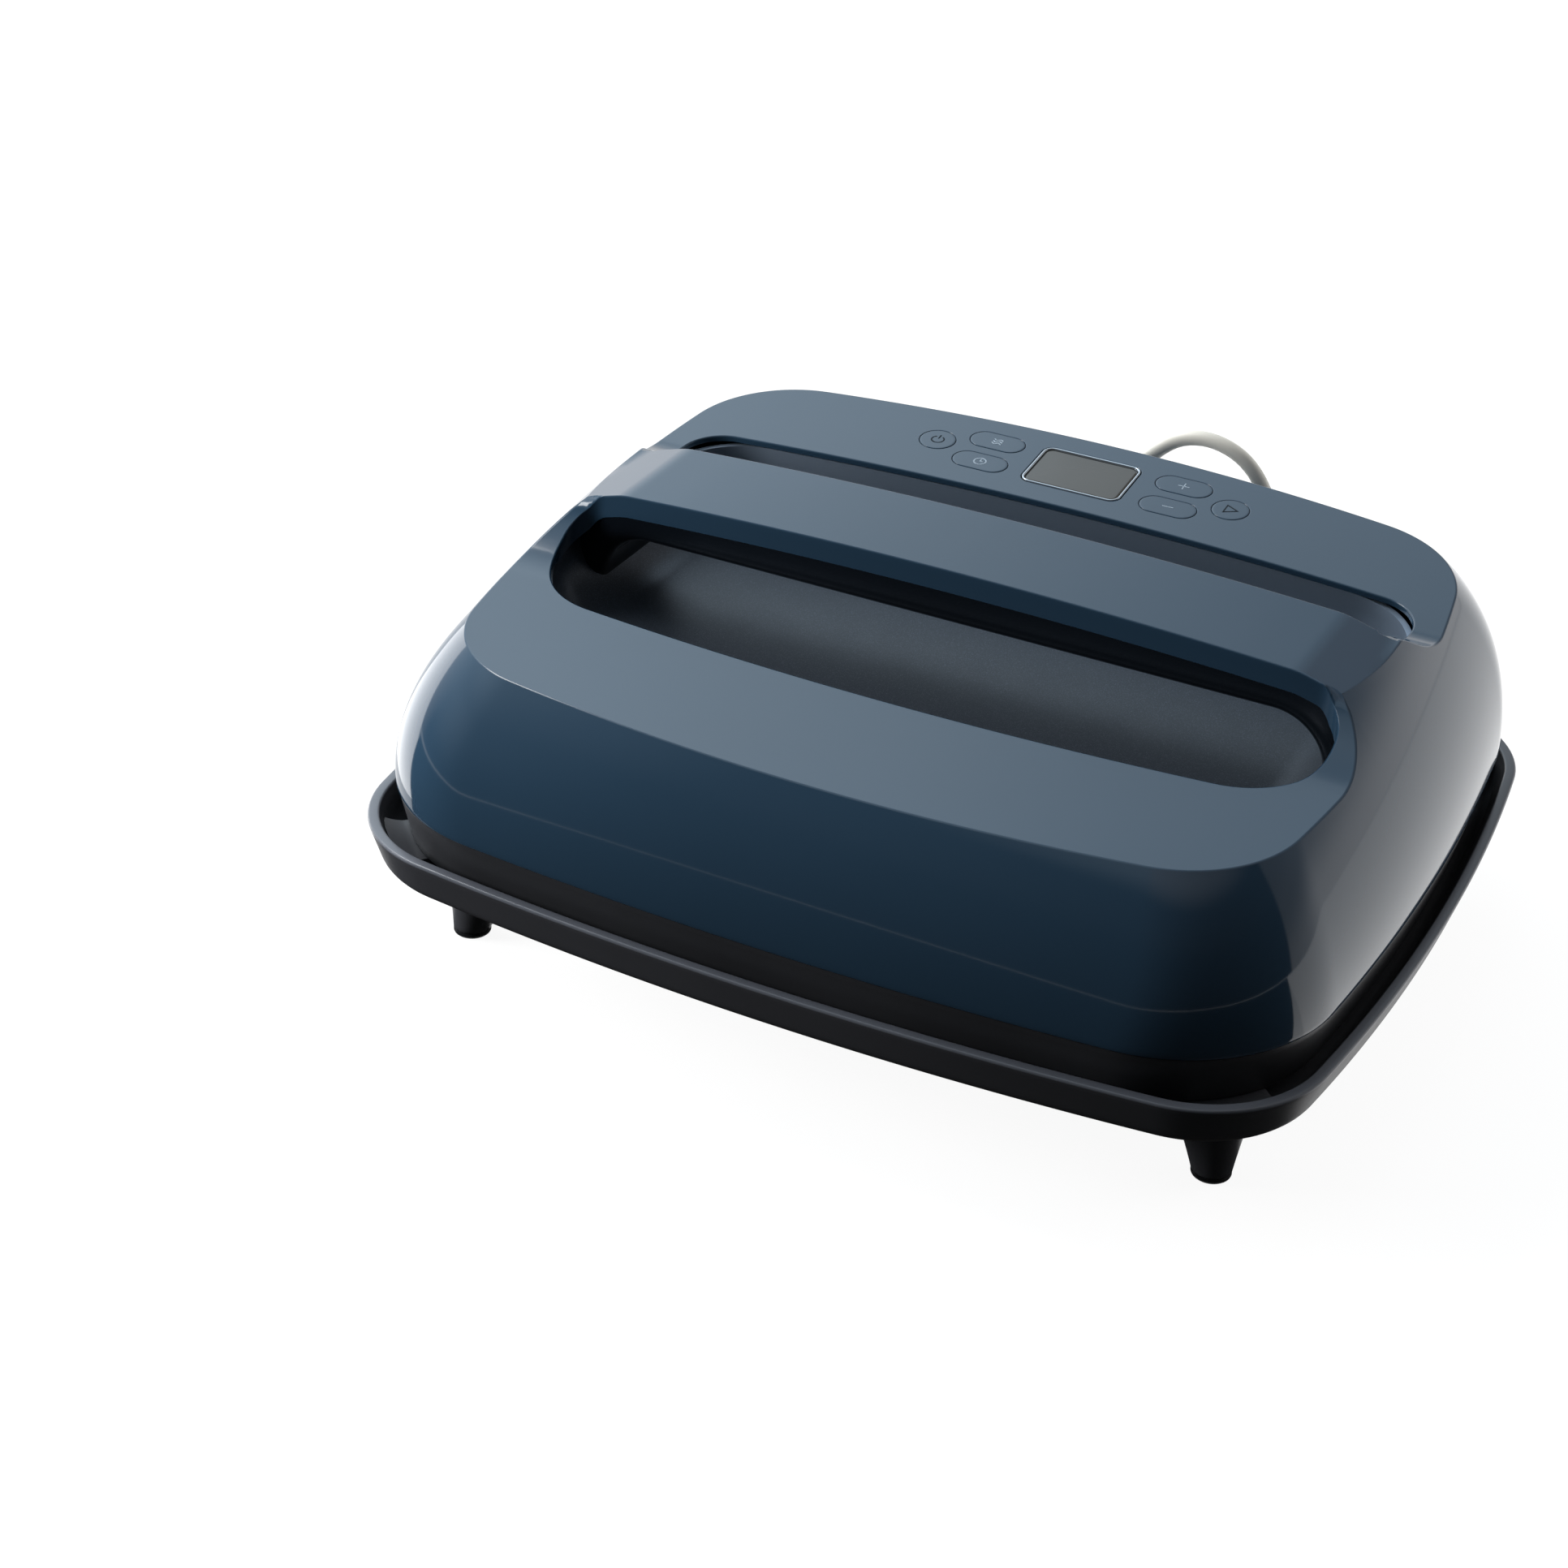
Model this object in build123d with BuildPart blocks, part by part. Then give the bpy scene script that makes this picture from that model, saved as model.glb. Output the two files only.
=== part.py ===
"""Handheld heat press resting in its tray stand.

Millimetres. +Z is up, the front of the press faces -Y, and the origin is on the
floor under the middle of the tray.
"""

import os
from math import asin, atan2, cos, degrees, dist, pi, radians, sin, sqrt, tan

from build123d import *

os.makedirs("parts", exist_ok=True)

# Heated plate, which sets the size of everything round it
plate_length = 305.0
plate_width = 254.0
plate_thickness = 12.0
plate_corner = 52.0
plate_chamfer = 1.5

# Clearances
seat_gap = 0.3
button_gap = 0.35
plate_gap = 1.0
parting_gap = 0.3

# Housing of the press head, at the line where it meets the black band
housing_margin_side = 16.0
housing_margin_front = 17.7
housing_corner = 58.0
housing_bulge = 10.0
housing_wall = 2.8
cover_wall = 3.0

# The housing's walls are arcs that stand upright at the band and lean in above it
front_wall_radius = 70.0
rear_wall_radius = 104.0
side_wall_radius = 97.5
front_rise = 49.5
rear_rise = 68.8
deck_corner = 42.0
deck_bulge = 15.0

# Stack of heights
pad_thickness = 2.0
foot_height = 35.0
tray_floor = 3.0
tray_wall = 4.0
tray_depth = 17.2
band_bottom = 46.0
band_height = 18.0
plate_drop = 3.0

# Black band
band_step = 0.4
band_taper = 3.7
band_wall = 3.0
band_flange = 3.0
housing_boss_inset_side = 11.5
housing_boss_inset_front = 13.9
housing_boss_inset_corner = 80.0
housing_boss_radius = 3.4
housing_boss_height = 35.0
housing_screw_length = 16.0

# Tray stand
tray_margin_side = 6.9
tray_margin_front = 4.2
tray_corner = 45.5
tray_bulge = 11.4
tray_flare = 5.0
tray_edge_round = 7.0
foot_inset_side = 32.5
foot_inset_front = 46.7
foot_toe_radius = 6.5
foot_mid_radius = 10.0
foot_top_radius = 17.0
foot_mid_height = 15.0
foot_splay = 6.0
foot_screw_length = 14.0
liner_margin = 10.0
liner_corner = 30.0
liner_bulge = 6.0
liner_thickness = 1.0
rest_inset_side = 30.3
rest_inset_front = 31.5
rest_width = 26.0
rest_seat = 9.9
rest_ramp = 2.6
rest_drop = 1.7
rest_reach = 20.0

# Front deck, control deck, handle and the openings between them
front_deck_tilt = 2.8
panel_tilt = 6.05
panel_inset = 49.6
panel_rise = 66.3
neck_front = -22.5
neck_rear = 25.0
neck_front_foot = -35.9
neck_rear_foot = 41.0
neck_front_rise = 68.7
neck_rear_rise = 70.1
handle_front = -22.0
handle_rear = 24.0
handle_rise = 78.3
handle_shoulder_inset = 50.5
handle_shoulder_drop = 3.3
handle_end_inset = 29.3
handle_end_drop = 8.6
handle_skirt = 8.0
neck_front_foot_round = 42.0
neck_front_round = 2.5
neck_rear_round = 4.0
neck_rear_foot_round = 32.0

slot_inset_side = 30.5
slot_inset_front = 76.1
slot_bow = 8.4
slot_corner = 30.0
slot_neck_corner = 10.0
valley_inset_side = 31.5
valley_inset_rear = 73.4
valley_bow = 8.4
valley_corner = 16.0
valley_neck_corner = 6.0
lip_overhang = 1.6

# Well under the handle and the lower handle cover
well_floor_rise = 34.0
well_wall = 2.5
well_round = 22.0
well_corner = 30.0
grip_underside_rise = 57.0
grip_leg_inset = 37.5
grip_arch_corner = 18.0
grip_round = 7.0

# Control deck
round_button = 13.6
pill_length = 21.1
pill_width = 11.2
button_flange = 1.2
button_flange_height = 1.0
button_proud = 0.3
button_travel = 0.8
power_x = 56.5
pill_x = 36.1
pill_y = 7.8
window_length = 38.2
window_width = 26.6
window_corner = 4.2
bezel_width = 1.7
window_thickness = 2.0
board_drop = 11.0
board_margin = 11.7
board_width = 30.0
board_thickness = 1.6
board_post = 5.0
keypad_thickness = 1.5
keypad_dome = 0.5
button_edge = 0.6
bezel_proud = 0.4
window_drop = 0.2

# Inside of the press head
shield_tab_inset = 11.0
shield_tab_y = 70.0
shield_screw_depth = 9.0
shield_margin = 2.5
insulation_margin = 10.0
insulation_corner = 44.0
boss_inset_side = 57.5
boss_inset_front = 62.0
plate_screw_depth = 7.0
power_board_x = -55.0
power_board_length = 120.0
power_board_width = 70.0
power_board_post = 5.0
power_board_post_inset = 5.0
stiffener_inset = 10.0
relay_place = (-38.0, 12.0)
relay_size = (19.0, 15.5, 15.5)
transformer_place = (2.0, -6.0)
transformer_base = (30.0, 26.0, 6.0)
transformer_core = (24.0, 26.0, 10.0)
capacitor_places = [(38.0, 14.0), (38.0, -10.0)]
capacitor_radius = 6.0
capacitor_height = 16.0
component_round = 1.0
cutoff_ears = (20.0, 8.0, 1.2)
cutoff_radius = 7.5
sensor_clip = (22.0, 6.0)
element_diameter = 8.0
element_inset = 34.0
element_corner = 30.0
insulation_thickness = 6.0
shield_thickness = 1.2
plate_boss = 12.0
mount_boss = 8.0
screw_diameter = 3.5
screw_head = 6.5
screw_head_height = 2.4

# Cord, its strain relief and its plug
cord_diameter = 5.6
relief_length = 20.0
relief_root = 11.0
relief_tip = 7.6
relief_x = -10.0
relief_height = 30.0
relief_standoff = 4.5
relief_flange = 8.0
relief_flange_depth = 3.4
relief_collar_gap = 0.1
cord_bends = [
    (10.5, 5.8, 124.2),
    (25.6, 6.3, 130.0),
    (41.3, 6.8, 125.8),
    (51.5, 7.8, 113.2),
    (56.2, 9.3, 95.8),
    (57.4, 12.3, 71.8),
    (56.0, 16.3, 49.5),
    (44.0, 19.8, 31.0),
]
cord_landing = 25.4
tail_flat = 13.0
tail_rise = 17.0
tail_end = 13.0
coil_x = -12.0
coil_behind = 58.3
coil_radius = 31.0
coil_layers = 4
coil_turns_per_layer = 1.9
coil_pitch = 6.3
coil_layer_pitch = 6.3
tie_thickness = 1.0
tie_width = 16.0
plug_length = 34.0
plug_width = 26.0
plug_height = 22.0
pin_pitch = 12.7
pin_length = 17.0
tie_offset = -30.7
tie_half = 8.2
tie_floor = 0.7
tie_top = 26.8
clamp_y = 100.0
clamp_length = 26.0
clamp_width = 10.0
clamp_base = 4.0
clamp_wall = 2.5

# Values that follow from the sizes above
half_length = plate_length / 2 + housing_margin_side
half_width = plate_width / 2 + housing_margin_front
foot_x = half_length - foot_inset_side
foot_y = half_width - foot_inset_front
rest_x = half_length - rest_inset_side
rest_y = half_width - rest_inset_front
liner_length = plate_length - 2 * liner_margin
liner_width = plate_width - 2 * liner_margin
panel_y = half_width - panel_inset
handle_shoulder = half_length - handle_shoulder_inset
handle_end = half_length - handle_end_inset
slot_half_length = half_length - slot_inset_side
slot_front = slot_inset_front - half_width
valley_half_length = half_length - valley_inset_side
valley_rear = half_width - valley_inset_rear
grip_leg_inner = half_length - grip_leg_inset
board_length = 2 * power_x + round_button + 2 * board_margin
shield_tab_x = half_length - shield_tab_inset
shield_length = plate_length - 2 * shield_margin
shield_width = plate_width - 2 * shield_margin
shield_corner = plate_corner - shield_margin
insulation_length = plate_length - 2 * insulation_margin
insulation_width = plate_width - 2 * insulation_margin
boss_pitch_x = plate_length / 2 - boss_inset_side
boss_pitch_y = plate_width - 2 * boss_inset_front
housing_boss_side = half_length - housing_boss_inset_side
housing_boss_front_x = half_length - housing_boss_inset_corner
housing_boss_front_y = half_width - housing_boss_inset_front
coil_centre = (coil_x, half_width + coil_behind)
cord_points = [(x, half_width + behind, z) for x, behind, z in cord_bends]
skirt_line = band_bottom + band_height
tray_top = foot_height + tray_depth
floor_top = foot_height + tray_floor
plate_bottom = band_bottom - plate_drop
plate_top = plate_bottom + plate_thickness
board_bottom = plate_top + element_diameter / 2 + seat_gap
shield_bottom = board_bottom + insulation_thickness
side_rise = (front_rise + rear_rise) / 2
panel_z = skirt_line + panel_rise
button_stem_depth = board_drop - keypad_thickness - keypad_dome - button_travel - 0.2
foot_screw_pitch_x = 2 * (foot_x - foot_splay)
foot_screw_pitch_y = 2 * (foot_y - foot_splay)
shield_top = shield_bottom + shield_thickness
housing_bosses = [
    (-housing_boss_side, 0),
    (housing_boss_side, 0),
    (-housing_boss_front_x, -housing_boss_front_y),
    (housing_boss_front_x, -housing_boss_front_y),
    (-housing_boss_front_x, housing_boss_front_y),
    (housing_boss_front_x, housing_boss_front_y),
]


def lean(radius, height):
    """How far an upright arc of this radius has leant in at this height."""
    return radius - sqrt(radius**2 - height**2)


def soft_rectangle(half_x, half_y, bulge_x, bulge_y, corner, middle_y=0.0):
    """Sketch with four bowed sides and round corners."""
    near = middle_y - half_y
    far = middle_y + half_y
    with BuildSketch() as outline:
        with BuildLine():
            ThreePointArc(
                (-half_x + bulge_x, near + bulge_y),
                (0, near),
                (half_x - bulge_x, near + bulge_y),
            )
            ThreePointArc(
                (half_x - bulge_x, near + bulge_y),
                (half_x, middle_y),
                (half_x - bulge_x, far - bulge_y),
            )
            ThreePointArc(
                (half_x - bulge_x, far - bulge_y),
                (0, far),
                (-half_x + bulge_x, far - bulge_y),
            )
            ThreePointArc(
                (-half_x + bulge_x, far - bulge_y),
                (-half_x, middle_y),
                (-half_x + bulge_x, near + bulge_y),
            )
        make_face()
        fillet(outline.vertices(), corner)
    return outline.sketch


def head_form(inset):
    """Outside of the press head above the band, drawn in by inset."""
    front_edge = half_width - lean(front_wall_radius, front_rise)
    rear_edge = half_width - lean(rear_wall_radius, rear_rise)
    full_tilt = degrees(atan2(rear_rise - front_rise, front_edge + rear_edge))
    with BuildPart() as form:
        for share in (0.0, 0.5, 1.0, 1.3):
            front = half_width - lean(front_wall_radius, front_rise * share) - inset
            rear = half_width - lean(rear_wall_radius, rear_rise * share) - inset
            side = half_length - lean(side_wall_radius, side_rise * share) - inset
            tilt = full_tilt * share
            level = Plane(
                origin=(0, 0, skirt_line + side_rise * share),
                x_dir=(1, 0, 0),
                z_dir=(0, -sin(radians(tilt)), cos(radians(tilt))),
            )
            outline = soft_rectangle(
                side,
                (front + rear) / 2 / cos(radians(tilt)),
                housing_bulge,
                housing_bulge + (deck_bulge - housing_bulge) * share,
                housing_corner + (deck_corner - housing_corner) * share - inset,
                (rear - front) / 2 / cos(radians(tilt)),
            )
            with BuildSketch(level):
                add(outline)
        loft()
    return form.part


def handle_profile(drop):
    """Front view of the handle's top, lowered by drop, down to the skirt line."""
    top_z = skirt_line + handle_rise - drop
    shoulder_z = top_z - handle_shoulder_drop
    end_z = top_z - handle_end_drop
    middle = (handle_shoulder + handle_end) / 2
    middle_z = (shoulder_z + end_z) / 2 + 1.0
    left_shoulder = (-handle_shoulder, shoulder_z)
    right_shoulder = (handle_shoulder, shoulder_z)
    with BuildSketch() as profile:
        with BuildLine():
            ThreePointArc(left_shoulder, (0, top_z), right_shoulder)
            ThreePointArc(right_shoulder, (middle, middle_z), (handle_end, end_z))
            Line((handle_end, end_z), (handle_end, skirt_line))
            Line((handle_end, skirt_line), (-handle_end, skirt_line))
            Line((-handle_end, skirt_line), (-handle_end, end_z))
            ThreePointArc((-handle_end, end_z), (-middle, middle_z), left_shoulder)
        make_face()
    return profile.sketch


def deck_block(drop):
    """Everything under the front deck, the necks and the control deck, lowered by drop."""
    reach = half_width + 10
    front_edge = half_width - lean(front_wall_radius, front_rise)
    front_slope = tan(radians(front_deck_tilt))
    rear_slope = tan(radians(panel_tilt))

    def front_z(y):
        return skirt_line + front_rise + front_slope * (y + front_edge) - drop

    def rear_z(y):
        return panel_z + rear_slope * (y - panel_y) - drop

    bends = {
        neck_front_foot: neck_front_foot_round,
        neck_front: neck_front_round,
        neck_rear: neck_rear_round,
        neck_rear_foot: neck_rear_foot_round,
    }
    with BuildPart() as block:
        with BuildSketch(Plane.YZ) as side_view:
            with BuildLine():
                Polyline(
                    (-reach, band_bottom),
                    (-reach, front_z(-reach)),
                    (neck_front_foot, front_z(neck_front_foot)),
                    (neck_front, skirt_line + neck_front_rise - drop),
                    (neck_rear, skirt_line + neck_rear_rise - drop),
                    (neck_rear_foot, rear_z(neck_rear_foot)),
                    (reach, rear_z(reach)),
                    (reach, band_bottom),
                    close=True,
                )
            make_face()
            for bend_y, bend_round in bends.items():
                bend = [v for v in side_view.vertices() if abs(v.X - bend_y) < 0.1]
                fillet(bend, bend_round)
        extrude(amount=half_length + 10, both=True)
    return block.part


def handle_block(drop, inset):
    """Everything under the top of the handle, lowered by drop and drawn in by inset."""
    with BuildPart() as block:
        with BuildSketch(Plane.XZ.offset(-(handle_front + inset))):
            add(handle_profile(drop))
        extrude(amount=-(handle_rear - handle_front - 2 * inset))
    return block.part


def slot_cutter():
    """Upright column through the finger slot in front of the handle."""
    with BuildPart() as column:
        with BuildSketch(Plane.XY.offset(skirt_line)) as plan:
            with BuildLine():
                ThreePointArc(
                    (-slot_half_length, slot_front + slot_bow),
                    (0, slot_front),
                    (slot_half_length, slot_front + slot_bow),
                )
                Polyline(
                    (slot_half_length, slot_front + slot_bow),
                    (slot_half_length, handle_front),
                    (-slot_half_length, handle_front),
                    (-slot_half_length, slot_front + slot_bow),
                )
            make_face()
            fillet(plan.vertices().group_by(Axis.Y)[0], slot_corner)
            fillet(plan.vertices().group_by(Axis.Y)[-1], slot_neck_corner)
        extrude(amount=100)
    return column.part


def valley_cutter():
    """Upright column through the gap behind the handle."""
    with BuildPart() as column:
        with BuildSketch(Plane.XY.offset(skirt_line)) as plan:
            with BuildLine():
                ThreePointArc(
                    (-valley_half_length, valley_rear - valley_bow),
                    (0, valley_rear),
                    (valley_half_length, valley_rear - valley_bow),
                )
                Polyline(
                    (valley_half_length, valley_rear - valley_bow),
                    (valley_half_length, handle_rear),
                    (-valley_half_length, handle_rear),
                    (-valley_half_length, valley_rear - valley_bow),
                )
            make_face()
            fillet(plan.vertices().group_by(Axis.Y)[-1], valley_corner)
            fillet(plan.vertices().group_by(Axis.Y)[0], valley_neck_corner)
        extrude(amount=100)
    return column.part


def well_void(inset):
    """Space inside the well, drawn in by inset, open at the top."""
    near = slot_front + inset
    far = valley_rear + lip_overhang - inset
    with BuildPart() as void:
        with BuildSketch(Plane.XY.offset(skirt_line + well_floor_rise + inset)):
            add(
                soft_rectangle(
                    slot_half_length + 0.5 - inset,
                    (far - near) / 2,
                    0.4,
                    slot_bow,
                    well_corner - inset,
                    (far + near) / 2,
                )
            )
        extrude(amount=60)
        fillet(void.edges().group_by(Axis.Z)[0], well_round - inset)
    return void.part


# Tray stand
def tray_outline(inset):
    """The tray's outline at its rim, drawn in by inset."""
    return soft_rectangle(
        half_length + tray_margin_side - inset,
        half_width + tray_margin_front - inset,
        tray_bulge,
        tray_bulge,
        tray_corner - inset,
    )


def tray_void(inset):
    """Space inside the tray, drawn in by inset."""
    with BuildPart() as void:
        with BuildSketch(Plane.XY.offset(floor_top)):
            add(tray_outline(tray_flare + tray_wall + inset))
        with BuildSketch(Plane.XY.offset(tray_top)):
            add(tray_outline(tray_wall + inset))
        loft()
        fillet(void.edges().group_by(Axis.Z)[0], tray_edge_round - tray_floor)
    return void.part


tray_inside = tray_void(0)

with BuildPart() as base_tray:
    with BuildSketch(Plane.XY.offset(foot_height)):
        add(tray_outline(tray_flare))
    with BuildSketch(Plane.XY.offset(tray_top)):
        add(tray_outline(0))
    loft()
    fillet(base_tray.edges().group_by(Axis.Z)[0], tray_edge_round)
    add(tray_inside, mode=Mode.SUBTRACT)
    with Locations(Plane.XY.offset(floor_top)):
        with GridLocations(foot_screw_pitch_x, foot_screw_pitch_y, 2, 2):
            CounterSinkHole(screw_diameter / 2, screw_head / 2)

with BuildPart() as tray_liner:
    with BuildSketch(Plane.XY.offset(floor_top)):
        add(
            soft_rectangle(
                liner_length / 2, liner_width / 2, liner_bulge, liner_bulge, liner_corner
            )
        )
    extrude(amount=liner_thickness)

corners = {
    "front_left": (-1, -1),
    "front_right": (1, -1),
    "rear_left": (-1, 1),
    "rear_right": (1, 1),
}

# Each corner rest carries the band's corner on a flat seat, with a ramp outside it
rests = {}
for corner_name, (sx, sy) in corners.items():
    across = Plane(
        origin=(sx * rest_x, sy * rest_y, 0),
        x_dir=(sx, sy, 0),
        z_dir=(sy, -sx, 0),
    )
    with BuildPart() as corner_rest:
        with BuildSketch(across):
            with BuildLine():
                up = 1 if across.y_dir.Z > 0 else -1
                Polyline(
                    (0, up * floor_top),
                    (0, up * (band_bottom - seat_gap)),
                    (rest_seat, up * (band_bottom - seat_gap)),
                    (rest_seat + rest_ramp, up * (tray_top - rest_drop)),
                    (rest_reach, up * (tray_top - rest_drop)),
                    (rest_reach, up * floor_top),
                    close=True,
                )
            make_face()
        extrude(amount=rest_width / 2, both=True)
        add(tray_void(0.15), mode=Mode.INTERSECT)
    rests[corner_name] = corner_rest.part

feet = {}
pads = {}
for corner_name, (sx, sy) in corners.items():
    with BuildPart() as base_foot:
        with BuildSketch(Plane.XY.offset(pad_thickness)):
            with Locations((sx * foot_x, sy * foot_y)):
                Circle(foot_toe_radius)
        with BuildSketch(Plane.XY.offset(foot_mid_height)):
            with Locations((sx * (foot_x - foot_splay / 3), sy * (foot_y - foot_splay / 3))):
                Circle(foot_mid_radius)
        with BuildSketch(Plane.XY.offset(foot_height)):
            with Locations((sx * (foot_x - foot_splay), sy * (foot_y - foot_splay))):
                Circle(foot_top_radius)
        loft()
        with Locations((sx * (foot_x - foot_splay), sy * (foot_y - foot_splay), foot_height)):
            Hole(screw_diameter / 2, foot_screw_length)
    feet[corner_name] = base_foot.part
    with BuildPart() as foot_pad:
        with BuildSketch():
            with Locations((sx * foot_x, sy * foot_y)):
                Circle(foot_toe_radius)
        extrude(amount=pad_thickness)
        chamfer(foot_pad.edges().group_by(Axis.Z)[0], 0.4)
    pads[corner_name] = foot_pad.part

with BuildPart() as foot_screws:
    with Locations(Plane.XY.offset(floor_top)):
        with GridLocations(foot_screw_pitch_x, foot_screw_pitch_y, 2, 2):
            Cylinder(
                screw_diameter / 2,
                tray_floor + foot_screw_length,
                align=(Align.CENTER, Align.CENTER, Align.MAX),
            )
            Cone(
                0.1,
                screw_head / 2,
                screw_head / 2 - 0.1,
                align=(Align.CENTER, Align.CENTER, Align.MAX),
            )

# Black band round the heated plate
def band_outline(inset):
    """The band's outline at the skirt line, drawn in by inset."""
    return soft_rectangle(
        half_length - inset,
        half_width - inset,
        housing_bulge,
        housing_bulge,
        housing_corner - inset,
    )


def band_taper_solid(bottom, wall):
    """Tapered block of the band's shape from bottom up to the skirt line."""
    with BuildPart() as block:
        with BuildSketch(Plane.XY.offset(bottom)):
            add(band_outline(band_step + band_taper + wall))
        with BuildSketch(Plane.XY.offset(skirt_line)):
            add(band_outline(band_step + wall))
        loft()
    return block.part


with BuildPart() as base_band:
    add(band_taper_solid(band_bottom, 0))
    add(band_taper_solid(band_bottom + band_flange, band_wall), mode=Mode.SUBTRACT)
    with BuildSketch(Plane.XY.offset(band_bottom)):
        RectangleRounded(
            plate_length + 2 * plate_gap, plate_width + 2 * plate_gap, plate_corner + plate_gap
        )
    extrude(amount=band_flange, mode=Mode.SUBTRACT)
    with BuildSketch(Plane.XY.offset(band_bottom + band_flange)):
        with GridLocations(2 * shield_tab_x, 2 * shield_tab_y, 2, 2):
            Circle(mount_boss / 2)
    extrude(amount=shield_bottom - band_bottom - band_flange)
    with BuildSketch(Plane.XY.offset(shield_bottom)):
        with GridLocations(2 * shield_tab_x, 2 * shield_tab_y, 2, 2):
            Circle(screw_diameter / 2)
    extrude(amount=-shield_screw_depth, mode=Mode.SUBTRACT)
    with BuildSketch(Plane.XY.offset(band_bottom)):
        with Locations(*housing_bosses):
            Circle(screw_diameter / 2)
    extrude(amount=band_flange, mode=Mode.SUBTRACT)

# Heated plate with the element let into its top
element_x = plate_length / 2 - element_inset
element_y = plate_width / 2 - element_inset
element_gate = element_corner / 2 + 1
with BuildLine(Plane.XY.offset(plate_top)) as element_path:
    FilletPolyline(
        (-element_gate, element_y - 2.2 * element_corner),
        (-element_gate, element_y),
        (-element_x, element_y),
        (-element_x, -element_y),
        (element_x, -element_y),
        (element_x, element_y),
        (element_gate, element_y),
        (element_gate, element_y - 2.2 * element_corner),
        radius=element_corner / 2,
    )


def along_element(radius):
    """Round bar of this radius along the element's path."""
    with BuildPart() as bar:
        with BuildSketch(Plane(origin=element_path.line @ 0, z_dir=element_path.line % 0)):
            Circle(radius)
        sweep(path=element_path.line)
    return bar.part


with BuildPart() as heating_element:
    add(along_element(element_diameter / 2))

with BuildPart() as heat_plate:
    with BuildSketch(Plane.XY.offset(plate_bottom)):
        RectangleRounded(plate_length, plate_width, plate_corner)
    extrude(amount=plate_thickness)
    chamfer(heat_plate.edges().group_by(Axis.Z)[0], plate_chamfer)
    with BuildSketch(Plane.XY.offset(plate_top)):
        with GridLocations(boss_pitch_x, boss_pitch_y, 3, 2):
            Circle(plate_boss / 2)
    extrude(amount=board_bottom - plate_top)
    with Locations(Plane.XY.offset(board_bottom)):
        with GridLocations(boss_pitch_x, boss_pitch_y, 3, 2):
            Hole(screw_diameter / 2, plate_screw_depth)
    add(along_element(element_diameter / 2 + 0.1), mode=Mode.SUBTRACT)

with BuildPart() as insulation_board:
    with BuildSketch(Plane.XY.offset(board_bottom)):
        RectangleRounded(insulation_length, insulation_width, insulation_corner)
        with GridLocations(boss_pitch_x, boss_pitch_y, 3, 2):
            Circle(screw_diameter / 2, mode=Mode.SUBTRACT)
    extrude(amount=insulation_thickness)

with BuildPart() as heat_shield:
    with BuildSketch(Plane.XY.offset(shield_bottom)):
        RectangleRounded(shield_length, shield_width, shield_corner)
        with GridLocations(2 * shield_tab_x, 2 * shield_tab_y, 2, 2):
            Circle(mount_boss / 2)
        with GridLocations(2 * shield_tab_x - mount_boss, 2 * shield_tab_y, 2, 2):
            Rectangle(2 * mount_boss, mount_boss)
        with GridLocations(boss_pitch_x, boss_pitch_y, 3, 2):
            Circle(screw_diameter / 2, mode=Mode.SUBTRACT)
        with GridLocations(2 * shield_tab_x, 2 * shield_tab_y, 2, 2):
            Circle(screw_diameter / 2, mode=Mode.SUBTRACT)
    extrude(amount=shield_thickness)
    with BuildSketch(Plane.XY.offset(shield_top)):
        with Locations((power_board_x, 0)):
            with GridLocations(
                power_board_length - 2 * power_board_post_inset,
                power_board_width - 2 * power_board_post_inset,
                2,
                2,
            ):
                Circle(mount_boss / 2)
    extrude(amount=power_board_post)

with BuildPart() as plate_screws:
    with Locations(Plane.XY.offset(shield_top)):
        with GridLocations(boss_pitch_x, boss_pitch_y, 3, 2):
            Cylinder(
                screw_diameter / 2,
                shield_top - board_bottom + plate_screw_depth,
                align=(Align.CENTER, Align.CENTER, Align.MAX),
            )
            Cylinder(
                screw_head / 2,
                screw_head_height,
                align=(Align.CENTER, Align.CENTER, Align.MIN),
            )

with BuildPart() as shield_screws:
    with Locations(Plane.XY.offset(shield_top)):
        with GridLocations(2 * shield_tab_x, 2 * shield_tab_y, 2, 2):
            Cylinder(
                screw_diameter / 2,
                shield_thickness + shield_screw_depth,
                align=(Align.CENTER, Align.CENTER, Align.MAX),
            )
            Cylinder(
                screw_head / 2,
                screw_head_height,
                align=(Align.CENTER, Align.CENTER, Align.MIN),
            )

with BuildPart() as housing_screws:
    with Locations(Plane.XY.offset(band_bottom)):
        with Locations(*housing_bosses):
            Cylinder(
                screw_diameter / 2,
                housing_screw_length,
                align=(Align.CENTER, Align.CENTER, Align.MIN),
            )
            Cylinder(
                screw_head / 2 - 0.6,
                1.2,
                align=(Align.CENTER, Align.CENTER, Align.MAX),
            )

cutoff_height = board_bottom - plate_top - seat_gap
with BuildPart() as thermal_cutoff:
    with BuildSketch(Plane.XY.offset(plate_top)):
        with Locations((boss_pitch_x / 2, 0)):
            SlotCenterToCenter(cutoff_ears[0], cutoff_ears[1])
    extrude(amount=cutoff_ears[2])
    with BuildSketch(Plane.XY.offset(plate_top)):
        with Locations((boss_pitch_x / 2, 0)):
            Circle(cutoff_radius)
    extrude(amount=cutoff_height)

with BuildPart() as temperature_sensor:
    with BuildSketch(Plane.XY.offset(plate_top)):
        with Locations((-boss_pitch_x / 2, 0)):
            SlotCenterToCenter(*sensor_clip)
    extrude(amount=cutoff_height)
    fillet(temperature_sensor.edges().group_by(Axis.Z)[-1], component_round)

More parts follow.
